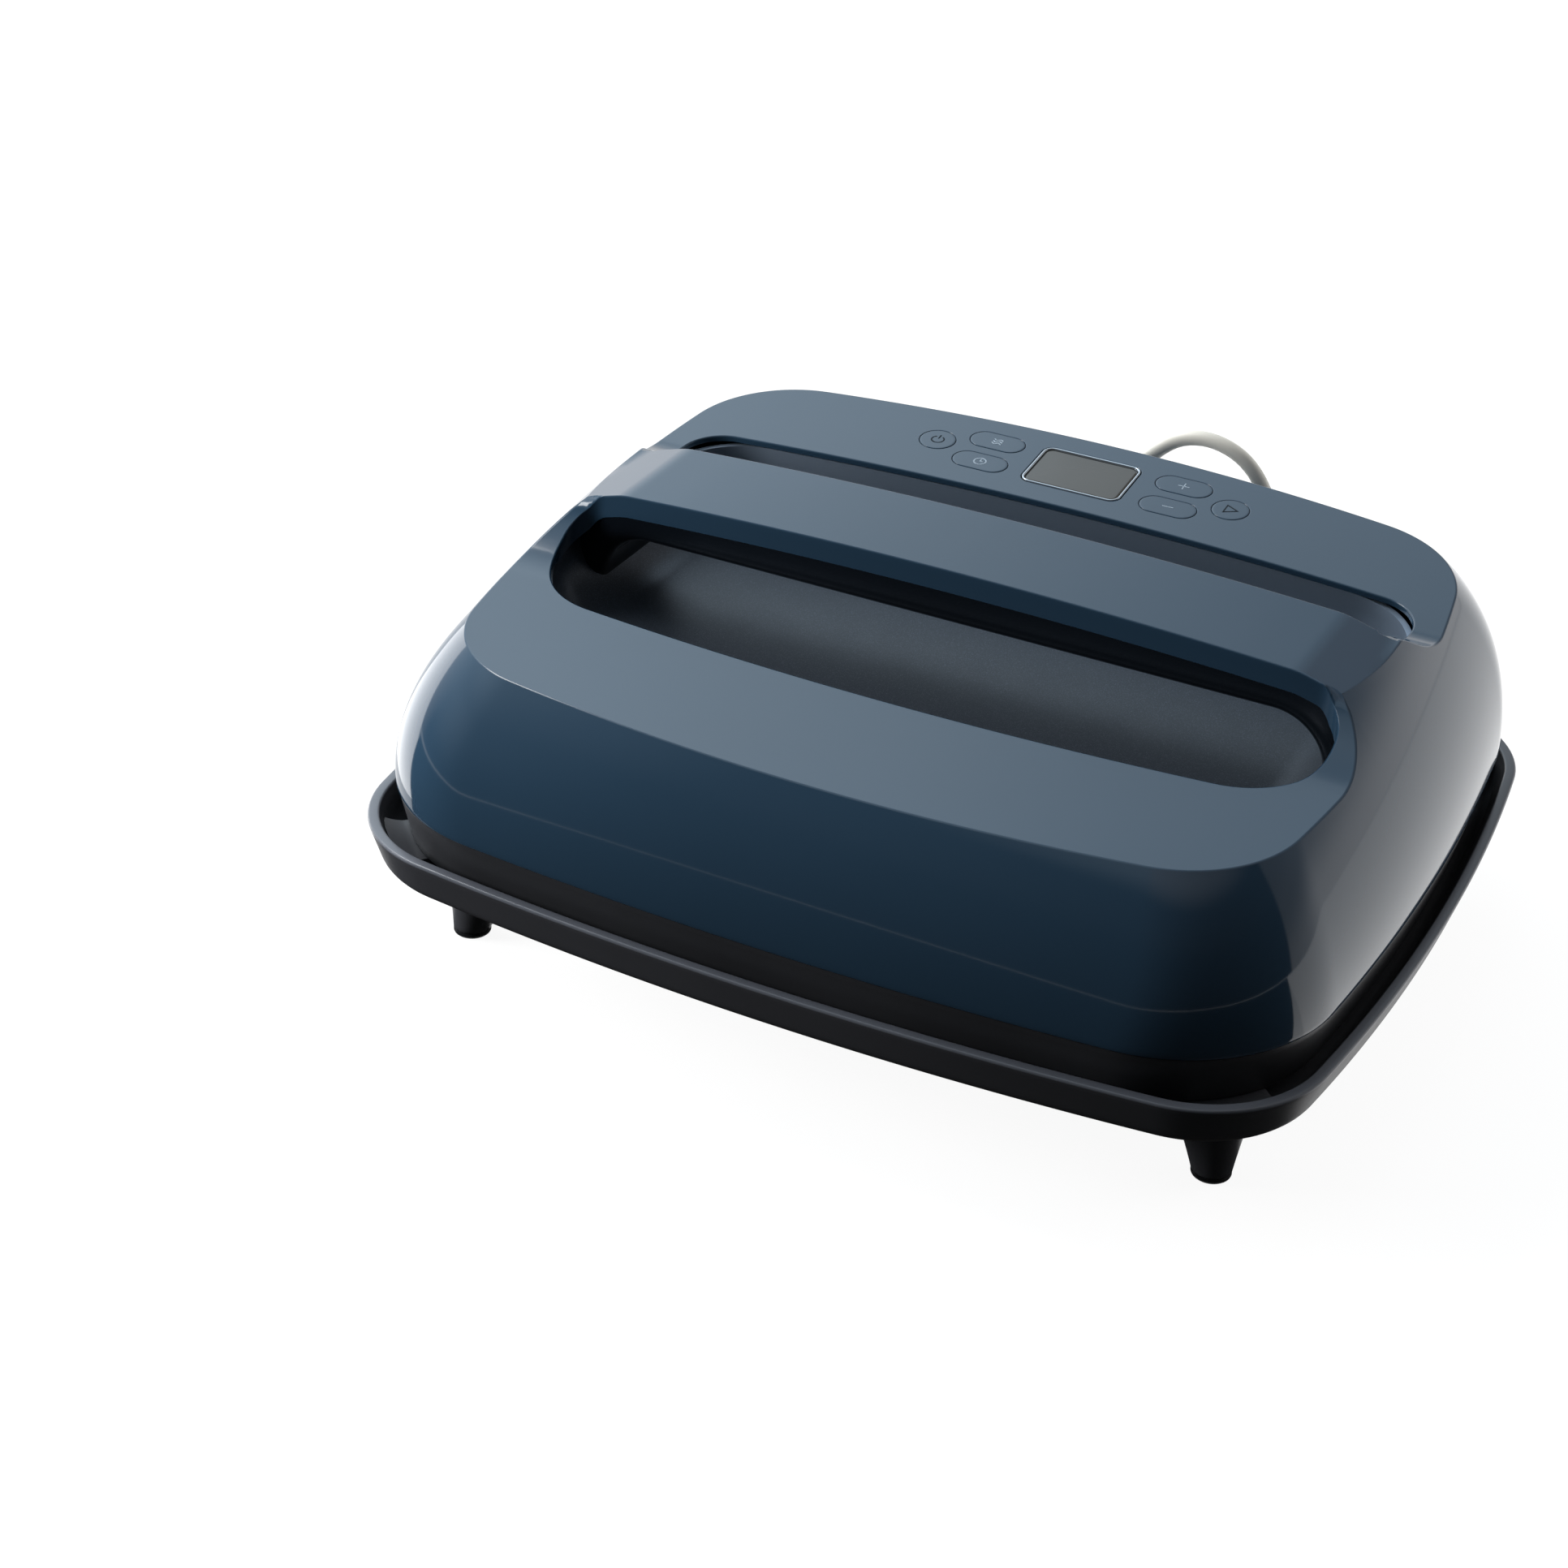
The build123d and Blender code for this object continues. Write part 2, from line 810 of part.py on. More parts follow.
board_top_z = shield_top + power_board_post + board_thickness
with BuildPart() as power_board:
    with BuildSketch(Plane.XY.offset(board_top_z - board_thickness)):
        with Locations((power_board_x, 0)):
            RectangleRounded(power_board_length, power_board_width, 2)
    extrude(amount=board_thickness)

with BuildPart() as relay:
    with BuildSketch(Plane.XY.offset(board_top_z)):
        with Locations((power_board_x + relay_place[0], relay_place[1])):
            Rectangle(relay_size[0], relay_size[1])
    extrude(amount=relay_size[2])
    fillet(relay.edges().filter_by(Axis.Z), component_round)

with BuildPart() as transformer:
    with BuildSketch(Plane.XY.offset(board_top_z)):
        with Locations((power_board_x + transformer_place[0], transformer_place[1])):
            Rectangle(transformer_base[0], transformer_base[1])
    extrude(amount=transformer_base[2])
    with BuildSketch(Plane.XY.offset(board_top_z + transformer_base[2])):
        with Locations((power_board_x + transformer_place[0], transformer_place[1])):
            Rectangle(transformer_core[0], transformer_core[1])
    extrude(amount=transformer_core[2])
    fillet(transformer.edges().filter_by(Axis.Z), component_round)

with BuildPart() as capacitors:
    with BuildSketch(Plane.XY.offset(board_top_z)):
        with Locations(*[(power_board_x + x, y) for x, y in capacitor_places]):
            Circle(capacitor_radius)
    extrude(amount=capacitor_height)
    fillet(capacitors.edges().group_by(Axis.Z)[-1], component_round)

# Where the cord goes through the rear wall: a grommet with a turned-up sleeve
wall_lean = asin(relief_height / rear_wall_radius)
wall_normal = Vector(0, cos(wall_lean), sin(wall_lean))
wall_point = Vector(
    relief_x,
    half_width - lean(rear_wall_radius, relief_height),
    skirt_line + relief_height,
)
elbow = wall_point + wall_normal * relief_standoff
sleeve_direction = (Vector(*cord_points[0]) - elbow).normalized()
sleeve_tip = elbow + sleeve_direction * relief_length
through_wall = Plane(origin=wall_point, x_dir=(1, 0, 0), z_dir=wall_normal)
along_sleeve = Plane(origin=elbow, z_dir=sleeve_direction)

# Housing of the press head
outer_form = head_form(0)
inner_form = head_form(housing_wall)
control_deck = Plane(
    origin=(0, panel_y, panel_z),
    x_dir=(1, 0, 0),
    z_dir=(0, -sin(radians(panel_tilt)), cos(radians(panel_tilt))),
)
deck_underside = cover_wall * cos(radians(panel_tilt))
post_pitch_x = board_length - 2 * board_post
post_pitch_y = board_width - board_post - 2

round_buttons = {"power_button": (-power_x, 0), "start_button": (power_x, 0)}
pill_buttons = {
    "temperature_button": (-pill_x, pill_y),
    "time_button": (-pill_x, -pill_y),
    "plus_button": (pill_x, pill_y),
    "minus_button": (pill_x, -pill_y),
}

with BuildPart() as skirt:
    add(outer_form)
    add(deck_block(cover_wall), mode=Mode.INTERSECT)
    add(inner_form, mode=Mode.SUBTRACT)
    for x, y in housing_bosses:
        outward_x = (x > 0) - (x < 0) if y == 0 else 0
        outward_y = (y > 0) - (y < 0)
        with BuildSketch(Plane.XY.offset(band_bottom + band_flange)):
            with Locations((x, y)):
                Circle(housing_boss_radius)
        extrude(amount=housing_boss_height)
        with BuildSketch(Plane.XY.offset(skirt_line + seat_gap)):
            with Locations((x + 4.5 * outward_x, y + 3.5 * outward_y)):
                if outward_y:
                    Rectangle(2.4, 7)
                else:
                    Rectangle(9, 2.4)
        extrude(amount=housing_boss_height - band_height + band_flange - seat_gap)
        with BuildSketch(Plane.XY.offset(band_bottom + band_flange)):
            with Locations((x, y)):
                Circle(screw_diameter / 2)
        extrude(amount=housing_screw_length - band_flange, mode=Mode.SUBTRACT)
    with BuildSketch(through_wall.offset(-10)):
        Circle(relief_root / 2 + 0.1)
    extrude(amount=20, mode=Mode.SUBTRACT)

with BuildPart() as top_cover:
    add(outer_form)
    add(deck_block(0), mode=Mode.INTERSECT)
    add(handle_block(0, 0))
    add(deck_block(cover_wall), mode=Mode.SUBTRACT)
    add(handle_block(cover_wall, cover_wall), mode=Mode.SUBTRACT)
    add(handle_block(handle_skirt, -0.5), mode=Mode.SUBTRACT)
    add(slot_cutter(), mode=Mode.SUBTRACT)
    add(valley_cutter(), mode=Mode.SUBTRACT)
    with BuildSketch(control_deck.offset(5)):
        RectangleRounded(window_length, window_width, window_corner)
        with Locations(*round_buttons.values()):
            Circle(round_button / 2 + button_gap)
        with Locations(*pill_buttons.values()):
            SlotOverall(pill_length + 2 * button_gap, pill_width + 2 * button_gap)
    extrude(amount=-15, mode=Mode.SUBTRACT)
    with BuildSketch(control_deck.offset(-board_drop)):
        with GridLocations(post_pitch_x, post_pitch_y, 2, 2):
            Circle(board_post / 2)
    extrude(amount=board_drop - 1.0)
    with BuildSketch(control_deck.offset(-board_drop)):
        with GridLocations(post_pitch_x, post_pitch_y, 2, 2):
            Circle(1.2)
    extrude(amount=6, mode=Mode.SUBTRACT)

with BuildPart() as handle_well:
    add(well_void(-well_wall))
    add(well_void(0), mode=Mode.SUBTRACT)
    add(deck_block(cover_wall), mode=Mode.INTERSECT)
    add(head_form(housing_wall + seat_gap), mode=Mode.INTERSECT)


def grip_arch():
    """Front view of the hand opening under the handle."""
    with BuildSketch() as arch:
        with Locations((0, skirt_line)):
            Rectangle(2 * grip_leg_inner, 2 * grip_underside_rise)
        fillet(arch.vertices(), grip_arch_corner)
    return arch.sketch


with BuildPart() as handle_grip:
    with BuildSketch(Plane.XZ.offset(-(handle_front + parting_gap))):
        add(handle_profile(handle_skirt + parting_gap))
        add(grip_arch(), mode=Mode.SUBTRACT)
    extrude(amount=-(handle_rear - handle_front - 2 * parting_gap))
    underside = handle_grip.edges().filter_by_position(
        Axis.Z, skirt_line + 1, skirt_line + grip_underside_rise + 0.1
    )
    underside = underside.filter_by(lambda e: abs(e.center().X) < grip_leg_inner + 1)
    underside = underside.filter_by(lambda e: abs(e.tangent_at(0.5).Y) < 0.5)
    fillet(underside, grip_round)
    add(well_void(seat_gap), mode=Mode.INTERSECT)
    add(
        deck_block(cover_wall + seat_gap)
        + handle_block(handle_skirt + parting_gap, parting_gap),
        mode=Mode.INTERSECT,
    )
    add(head_form(housing_wall + 2 * seat_gap), mode=Mode.INTERSECT)

with BuildPart() as handle_stiffener:
    with BuildSketch(Plane.XZ.offset(-(handle_front + 2 * cover_wall))):
        add(handle_profile(cover_wall + seat_gap))
        add(handle_profile(handle_skirt + parting_gap), mode=Mode.SUBTRACT)
        with Locations((0, skirt_line + handle_rise)):
            Rectangle(
                2 * (handle_shoulder - stiffener_inset), handle_rise, mode=Mode.INTERSECT
            )
    extrude(amount=-(handle_rear - handle_front - 4 * cover_wall))

# Control deck: display, buttons and the board under them
with BuildPart() as control_board:
    with BuildSketch(control_deck.offset(-board_drop)):
        RectangleRounded(board_length, board_width, 2)
        with GridLocations(post_pitch_x, post_pitch_y, 2, 2):
            Circle(1.3, mode=Mode.SUBTRACT)
    extrude(amount=-board_thickness)

with BuildPart() as board_screws:
    with BuildSketch(control_deck.offset(-board_drop - board_thickness)):
        with GridLocations(post_pitch_x, post_pitch_y, 2, 2):
            Circle(1.2)
    extrude(amount=board_thickness + 5)
    with BuildSketch(control_deck.offset(-board_drop - board_thickness)):
        with GridLocations(post_pitch_x, post_pitch_y, 2, 2):
            Circle(2.2)
    extrude(amount=-1.4)

with BuildPart() as switch_pad:
    with BuildSketch(control_deck.offset(-board_drop)):
        RectangleRounded(2 * power_x + round_button + 3, board_width - 3, 3)
        Rectangle(window_length + 3, board_width, mode=Mode.SUBTRACT)
    extrude(amount=keypad_thickness)
    with BuildSketch(control_deck.offset(-board_drop + keypad_thickness)):
        with Locations(*round_buttons.values()):
            Circle(3)
        with Locations(*pill_buttons.values()):
            Circle(3)
    extrude(amount=keypad_dome)

with BuildPart() as lcd_module:
    with BuildSketch(control_deck.offset(-board_drop)):
        Rectangle(window_length - 2, window_width - 1)
    extrude(amount=board_drop - deck_underside - 1)

with BuildPart() as display_bezel:
    with BuildSketch(control_deck.offset(bezel_proud)):
        RectangleRounded(
            window_length - 2 * button_gap, window_width - 2 * button_gap, window_corner
        )
    extrude(amount=-(bezel_proud + deck_underside + 1))
    with BuildSketch(control_deck.offset(-deck_underside - 0.05)):
        RectangleRounded(window_length + 3, window_width + 3, window_corner)
    extrude(amount=-0.95)
    with BuildSketch(control_deck.offset(bezel_proud)):
        RectangleRounded(
            window_length - 2 * bezel_width,
            window_width - 2 * bezel_width,
            window_corner - bezel_width,
        )
    extrude(amount=-(bezel_proud + window_drop + window_thickness), mode=Mode.SUBTRACT)
    with BuildSketch(control_deck):
        Rectangle(
            window_length - 2 * bezel_width - 2,
            window_width - 2 * bezel_width - 2,
        )
    extrude(amount=-(deck_underside + 2), mode=Mode.SUBTRACT)

with BuildPart() as display_window:
    with BuildSketch(control_deck.offset(-window_drop)):
        RectangleRounded(
            window_length - 2 * bezel_width,
            window_width - 2 * bezel_width,
            window_corner - bezel_width,
        )
    extrude(amount=-window_thickness)

with BuildPart() as buzzer:
    with BuildSketch(control_deck.offset(-board_drop - board_thickness)):
        with Locations((-board_length / 3, 0)):
            Circle(6)
    extrude(amount=-6)


deck_normal = Axis((0, 0, 0), control_deck.z_dir)


def push_button(place, cap, flange, stem):
    """One push button: rounded cap, flange under the deck and stem over its switch."""
    flange_top = -deck_underside - seat_gap
    with BuildPart() as button:
        with BuildSketch(control_deck.offset(button_proud)):
            with Locations(place):
                add(cap)
        extrude(amount=flange_top - button_proud)
        fillet(button.faces().sort_by(deck_normal)[-1].edges(), button_edge)
        with BuildSketch(control_deck.offset(flange_top)):
            with Locations(place):
                add(flange)
        extrude(amount=-button_flange_height)
        with BuildSketch(control_deck.offset(flange_top)):
            with Locations(place):
                add(stem)
        extrude(amount=-(button_stem_depth + flange_top))
    return button.part


with BuildSketch() as round_cap:
    Circle(round_button / 2)
with BuildSketch() as round_flange:
    Circle(round_button / 2 + button_flange)
with BuildSketch() as pill_cap:
    SlotOverall(pill_length, pill_width)
with BuildSketch() as pill_flange:
    SlotOverall(pill_length + 2 * button_flange, pill_width + 2 * button_flange)
with BuildSketch() as button_stem:
    Circle(2)

buttons = {}
for button_name, place in round_buttons.items():
    buttons[button_name] = push_button(
        place, round_cap.sketch, round_flange.sketch, button_stem.sketch
    )
for button_name, place in pill_buttons.items():
    buttons[button_name] = push_button(
        place, pill_cap.sketch, pill_flange.sketch, button_stem.sketch
    )

with BuildPart() as strain_relief:
    with BuildSketch(through_wall.offset(-relief_flange_depth)):
        Circle(relief_flange)
    extrude(amount=-2)
    with BuildSketch(through_wall.offset(-relief_flange_depth - 2)):
        Circle(relief_root / 2)
    extrude(amount=relief_flange_depth + 2 + relief_standoff)
    with BuildSketch(through_wall.offset(relief_collar_gap)):
        Circle(relief_flange - 0.5)
    extrude(amount=2)
    with Locations(elbow):
        Sphere(relief_root / 2)
    with BuildSketch(along_sleeve):
        Circle(relief_root / 2)
    with BuildSketch(along_sleeve.offset(relief_length)):
        Circle(relief_tip / 2)
    loft()

# Free stretches of the cord
def arc_radii(route):
    """Radius of the arc at each bend of a route, as large as its two runs allow."""
    radii = []
    for before, here, after in zip(route, route[1:], route[2:]):
        turn = (here - before).get_angle(after - here)
        shorter = min((here - before).length, (after - here).length)
        radii.append(0.45 * shorter / tan(radians(turn / 2)))
    return radii


def cord_tube(route):
    """Plain tube along straight runs joined by tangent arcs."""
    with BuildLine(mode=Mode.PRIVATE) as path:
        FilletPolyline(*route, radius=arc_radii(route))
    start = Plane(origin=path.line @ 0, z_dir=path.line % 0)
    with BuildPart() as tube:
        with BuildSketch(start):
            Circle(cord_diameter / 2)
        sweep(path=path.line)
    return tube.part, path.wire()


# Coil of the put-away length, wound in layers that spiral in and out
coil_top = tie_thickness + cord_diameter / 2 + (coil_layers - 1) * coil_layer_pitch
coil_turns = coil_layers * coil_turns_per_layer
spiral_swing = coil_pitch * coil_turns_per_layer / 2


def coil_radius_at(turn):
    """Radius of the winding: in over one layer and out again over the next."""
    layer, share = divmod(turn / coil_turns_per_layer, 2)
    return coil_radius + spiral_swing * (1 - 2 * share if share < 1 else 2 * share - 3)


def coil_height_at(turn):
    """Height of the winding: down a layer in each half turn where it reverses."""
    height = coil_top
    for reversal in range(1, coil_layers):
        share = (turn - reversal * coil_turns_per_layer) / 0.5 + 0.5
        share = min(max(share, 0), 1)
        height -= coil_layer_pitch * share * share * (3 - 2 * share)
    return height


def coil_point(turn):
    """Point of the cord's centre line after this many turns."""
    angle = -pi / 2 - 2 * pi * turn
    radius = coil_radius_at(turn)
    return Vector(
        coil_centre[0] + radius * cos(angle),
        coil_centre[1] + radius * sin(angle),
        coil_height_at(turn),
    )


def coil_direction(turn):
    """Direction of the cord's centre line after this many turns."""
    if turn <= 0 or turn >= coil_turns:
        angle = -pi / 2 - 2 * pi * turn
        return Vector(sin(angle), -cos(angle), 0)
    step = 0.02
    return (coil_point(turn + step) - coil_point(turn - step)).normalized()


coil_steps = round(coil_turns * 4)
coil_stations = [coil_turns * step / coil_steps for step in range(coil_steps + 1)]
coil_start = coil_point(0)
coil_end = coil_point(coil_turns)
lead_in = coil_start - coil_direction(0) * cord_diameter
lead_out = coil_end + coil_direction(coil_turns) * cord_diameter
with BuildLine() as coil_path:
    Line(lead_in, coil_start)
    for turn, next_turn in zip(coil_stations, coil_stations[1:]):
        here = coil_point(turn)
        there = coil_point(next_turn)
        leaving = coil_direction(turn)
        arriving = coil_direction(next_turn)
        chord = there - here
        along = chord.dot(leaving + arriving)
        square = 2 * (1 - leaving.dot(arriving))
        reach = (sqrt(along**2 + square * chord.dot(chord)) - along) / square
        near = here + leaving * reach
        far = there - arriving * reach
        middle = (near + far) * 0.5
        TangentArc(here, middle, tangent=leaving)
        TangentArc(middle, there, tangent=far - near)
    Line(coil_end, lead_out)

with BuildPart() as cord_coil:
    with BuildSketch(Plane(origin=lead_in, z_dir=coil_direction(0))):
        Circle(cord_diameter / 2)
    sweep(path=coil_path.line)

# Cord from the strain relief down to the top of the coil
landing = lead_in - coil_direction(0) * cord_landing
cord_route = [sleeve_tip] + [Vector(*point) for point in cord_points] + [landing, lead_in]
cord_run_part, cord_run_line = cord_tube(cord_route)

# Tail of the cord, its plug and the tie round the coil
away = coil_direction(coil_turns)
lift = Vector(0, 0, plug_height / 2 - lead_out.Z)
tail_route = [lead_out, lead_out + away * tail_flat]
tail_route.append(tail_route[-1] + away * tail_rise + lift)
tail_route.append(tail_route[-1] + away * tail_end)
cord_tail_part, cord_tail_line = cord_tube(tail_route)

tail_axis = Axis((0, 0, 0), away)
plug_back = Plane(origin=tail_route[-1], x_dir=(-away.Y, away.X, 0), z_dir=away)
with BuildPart() as plug:
    with BuildSketch(plug_back):
        RectangleRounded(11, 11, 4)
    with BuildSketch(plug_back.offset(0.35 * plug_length)):
        RectangleRounded(0.75 * plug_width, 0.75 * plug_height, 5)
    with BuildSketch(plug_back.offset(0.65 * plug_length)):
        RectangleRounded(plug_width, plug_height, 5)
    loft()
    with BuildSketch(plug_back.offset(0.65 * plug_length)):
        RectangleRounded(plug_width, plug_height, 5)
    extrude(amount=0.35 * plug_length)
    fillet(plug.faces().sort_by(tail_axis)[-1].edges(), 1.0)

with BuildPart() as plug_pins:
    with BuildSketch(plug_back.offset(plug_length)):
        with Locations((-pin_pitch / 2, 0), (pin_pitch / 2, 0)):
            Rectangle(1.5, 6.3)
    extrude(amount=pin_length)
    chamfer(plug_pins.faces().sort_by(tail_axis)[-2:].edges(), 0.5)

with BuildPart() as coil_tie:
    with BuildSketch(Plane.XZ.offset(-coil_centre[1] - tie_width / 2)):
        with Locations((coil_x + tie_offset, tie_top / 2)):
            RectangleRounded(2 * tie_half + 2 * tie_thickness, tie_top, 2.5)
        with Locations((coil_x + tie_offset, (tie_top - tie_thickness + tie_floor) / 2)):
            RectangleRounded(
                2 * tie_half, tie_top - tie_thickness - tie_floor, 1.5, mode=Mode.SUBTRACT
            )
    extrude(amount=tie_width)

# Cord clamp inside the housing
with BuildPart() as cord_clamp:
    with BuildSketch(Plane.XY.offset(shield_top)):
        with Locations((relief_x, clamp_y)):
            Rectangle(clamp_length, clamp_width)
    extrude(amount=clamp_base)
    with BuildSketch(Plane.XZ.offset(-clamp_y - clamp_width / 2)):
        with Locations((relief_x, shield_top + clamp_base)):
            Circle(cord_diameter / 2 + clamp_wall)
            Rectangle(
                clamp_length, clamp_length, align=(Align.CENTER, Align.MAX), mode=Mode.SUBTRACT
            )
            Circle(cord_diameter / 2 + 0.1, mode=Mode.SUBTRACT)
    extrude(amount=clamp_width)

# Cord lengths and the coil's least gap, for the report
for title, tube, line in (
    ("cord run", cord_run_part, cord_run_line),
    ("cord coil", cord_coil.part, coil_path.wire()),
    ("cord tail", cord_tail_part, cord_tail_line),
):
    expected = pi * (cord_diameter / 2) ** 2 * line.length
    print(title, "length", round(line.length), "mm, volume share", round(tube.volume / expected, 4))
print("cord run arc radii", [round(radius, 1) for radius in arc_radii(cord_route)])
print("cord tail arc radii", [round(radius, 1) for radius in arc_radii(tail_route)])
samples = []
for edge in coil_path.edges():
    for step in range(12):
        samples.append(tuple(edge @ (step / 12)))
apart = 48
least = min(
    dist(here, there)
    for index, here in enumerate(samples)
    for there in samples[index + apart :]
)
print("least gap between the coil's turns", round(least - cord_diameter, 2), "mm")

# Labels and export
built = {
    "base_tray": base_tray.part,
    "tray_liner": tray_liner.part,
    "foot_screws": foot_screws.part,
    "base_band": base_band.part,
    "heat_plate": heat_plate.part,
    "heating_element": heating_element.part,
    "insulation_board": insulation_board.part,
    "heat_shield": heat_shield.part,
    "plate_screws": plate_screws.part,
    "shield_screws": shield_screws.part,
    "housing_screws": housing_screws.part,
    "thermal_cutoff": thermal_cutoff.part,
    "temperature_sensor": temperature_sensor.part,
    "power_board": power_board.part,
    "relay": relay.part,
    "transformer": transformer.part,
    "capacitors": capacitors.part,
    "cord_clamp": cord_clamp.part,
    "skirt": skirt.part,
    "top_cover": top_cover.part,
    "handle_well": handle_well.part,
    "handle_grip": handle_grip.part,
    "handle_stiffener": handle_stiffener.part,
    "control_board": control_board.part,
    "board_screws": board_screws.part,
    "switch_pad": switch_pad.part,
    "lcd_module": lcd_module.part,
    "display_bezel": display_bezel.part,
    "display_window": display_window.part,
    "buzzer": buzzer.part,
    "strain_relief": strain_relief.part,
    "cord_run": cord_run_part,
    "cord_coil": cord_coil.part,
    "cord_tail": cord_tail_part,
    "coil_tie": coil_tie.part,
    "plug": plug.part,
    "plug_pins": plug_pins.part,
}
for corner_name in corners:
    built["corner_rest_" + corner_name] = rests[corner_name]
    built["base_foot_" + corner_name] = feet[corner_name]
    built["foot_pad_" + corner_name] = pads[corner_name]
built.update(buttons)

for node_name, node_part in built.items():
    node_part.label = node_name
    export_step(node_part, "parts/" + node_name + ".step")
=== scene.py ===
from math import atan2, cos, pi, radians, sin, sqrt, tan

import bpy
import numpy as np
from mathutils import Matrix, Vector
from mathutils.geometry import delaunay_2d_cdt


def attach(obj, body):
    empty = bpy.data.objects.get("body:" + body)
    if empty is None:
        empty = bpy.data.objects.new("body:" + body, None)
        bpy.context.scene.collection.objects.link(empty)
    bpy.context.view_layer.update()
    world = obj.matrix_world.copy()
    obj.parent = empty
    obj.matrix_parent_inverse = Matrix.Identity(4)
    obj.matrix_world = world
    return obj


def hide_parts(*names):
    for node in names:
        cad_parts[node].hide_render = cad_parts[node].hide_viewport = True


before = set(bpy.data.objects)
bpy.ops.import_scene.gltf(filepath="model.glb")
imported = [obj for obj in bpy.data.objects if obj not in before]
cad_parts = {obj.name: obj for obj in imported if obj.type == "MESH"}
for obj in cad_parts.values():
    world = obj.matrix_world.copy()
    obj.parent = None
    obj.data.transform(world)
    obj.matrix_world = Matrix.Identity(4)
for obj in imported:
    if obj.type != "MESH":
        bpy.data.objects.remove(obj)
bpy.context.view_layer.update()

MM = 0.001


def add_object(name, data):
    """New object of the scene with this data."""
    made = bpy.data.objects.new(name, data)
    bpy.context.scene.collection.objects.link(made)
    return made


# Camera at the photograph's view, with its focal length and principal point in the photograph's pixels
TARGET = Vector((-40.19, -51.47, 64.0)) * MM
AZIMUTH, ELEVATION, ROLL = radians(26.11), radians(30.62), radians(2.40)
DISTANCE = 1019.05 * MM
PIXELS, FOCAL, PRINCIPAL_X, PRINCIPAL_Y = 1932, 3738.42, 968.8, 966.3
SENSOR = 36
back = Vector((sin(AZIMUTH) * cos(ELEVATION), -cos(AZIMUTH) * cos(ELEVATION), sin(ELEVATION)))
right = Vector((cos(AZIMUTH), sin(AZIMUTH), 0))
up = back.cross(right)
camera_axes = Matrix((right * cos(ROLL) + up * sin(ROLL), up * cos(ROLL) - right * sin(ROLL), back))
camera_data = bpy.data.cameras.new("camera")
camera_data.sensor_width = SENSOR
camera_data.lens = FOCAL / PIXELS * SENSOR
camera_data.shift_x = (PIXELS / 2 - PRINCIPAL_X) / PIXELS
camera_data.shift_y = (PRINCIPAL_Y - PIXELS / 2) / PIXELS
camera_data.clip_start = 0.05
camera_data.clip_end = 50
camera = add_object("camera", camera_data)
camera.matrix_world = Matrix.Translation(TARGET + DISTANCE * back) @ camera_axes.transposed().to_4x4()
bpy.context.scene.camera = camera

# Sizes in millimetres, as in the part's source
SKIRT_LINE = 64.0
HALF_LENGTH, HALF_WIDTH, BULGE, CORNER = 168.5, 144.7, 10.0, 58.0
DECK_CORNER, DECK_BULGE = 42.0, 15.0
FRONT_RADIUS, REAR_RADIUS, SIDE_RADIUS = 70.0, 104.0, 97.5
FRONT_RISE, REAR_RISE = 49.5, 68.8
SIDE_RISE = (FRONT_RISE + REAR_RISE) / 2
FRONT_TILT, PANEL_TILT = 2.8, 6.05
PANEL_Y, PANEL_Z = 95.1, SKIRT_LINE + 66.3
EDGE = 1.2


def lean(radius, height):
    """How far a wall of this radius has drawn in at this height."""
    return radius - sqrt(radius**2 - height**2)


def unit(v):
    return v / np.linalg.norm(v, axis=-1, keepdims=True)


# Outlines and walls
def arc_points(centre, radius, start, end, count):
    angles = np.linspace(start, end, count + 1)
    return np.stack([centre[0] + radius * np.cos(angles), centre[1] + radius * np.sin(angles)], 1)


def outline(hx, hy, bx, by, corner, my=0.0, counts=(26, 22, 40)):
    """Loop with four bowed sides and round corners, counter-clockwise from the middle of the front."""
    r1 = ((hx - bx) ** 2 + by**2) / (2 * by)
    r2 = ((hy - by) ** 2 + bx**2) / (2 * bx)
    o1 = np.array([0.0, -hy + r1])
    o2 = np.array([hx - r2, 0.0])
    d = o2 - o1
    dist = np.linalg.norm(d)
    a = ((r1 - corner) ** 2 - (r2 - corner) ** 2 + dist**2) / (2 * dist)
    h = sqrt(max((r1 - corner) ** 2 - a * a, 0))
    f = o1 + d * a / dist + np.array([-d[1], d[0]]) / dist * h
    (x1, y1), (x2, y2) = unit(f - o1), unit(f - o2)
    a1, a2 = atan2(y1, x1), atan2(y2, x2)
    quarter = np.concatenate([
        arc_points(o1, r1, -pi / 2, a1, counts[0])[:-1],
        arc_points(f, corner, a1, a2, counts[1])[:-1],
        arc_points(o2, r2, a2, 0.0, counts[2]),
    ])
    others = [(quarter * (1, -1))[::-1][:-1], -quarter[:-1], (quarter * (-1, 1))[::-1][:-1]]
    return np.concatenate([quarter[:-1], *others]) + (0, my)


FRONT_EDGE = HALF_WIDTH - lean(FRONT_RADIUS, FRONT_RISE)
REAR_EDGE = HALF_WIDTH - lean(REAR_RADIUS, REAR_RISE)
FULL_TILT = atan2(REAR_RISE - FRONT_RISE, FRONT_EDGE + REAR_EDGE)


def wall_level(share):
    """Loop of the head's outside at this share of its height, as the part's source has it."""
    front = HALF_WIDTH - lean(FRONT_RADIUS, FRONT_RISE * share)
    rear = HALF_WIDTH - lean(REAR_RADIUS, REAR_RISE * share)
    side = HALF_LENGTH - lean(SIDE_RADIUS, SIDE_RISE * share)
    tilt = FULL_TILT * share
    flat = outline(side, (front + rear) / 2 / cos(tilt), BULGE, BULGE + (DECK_BULGE - BULGE) * share,
                   CORNER + (DECK_CORNER - CORNER) * share, (rear - front) / 2 / cos(tilt))
    z = SKIRT_LINE + SIDE_RISE * share
    return np.stack([flat[:, 0], flat[:, 1] * cos(tilt), z + flat[:, 1] * sin(tilt)], 1)


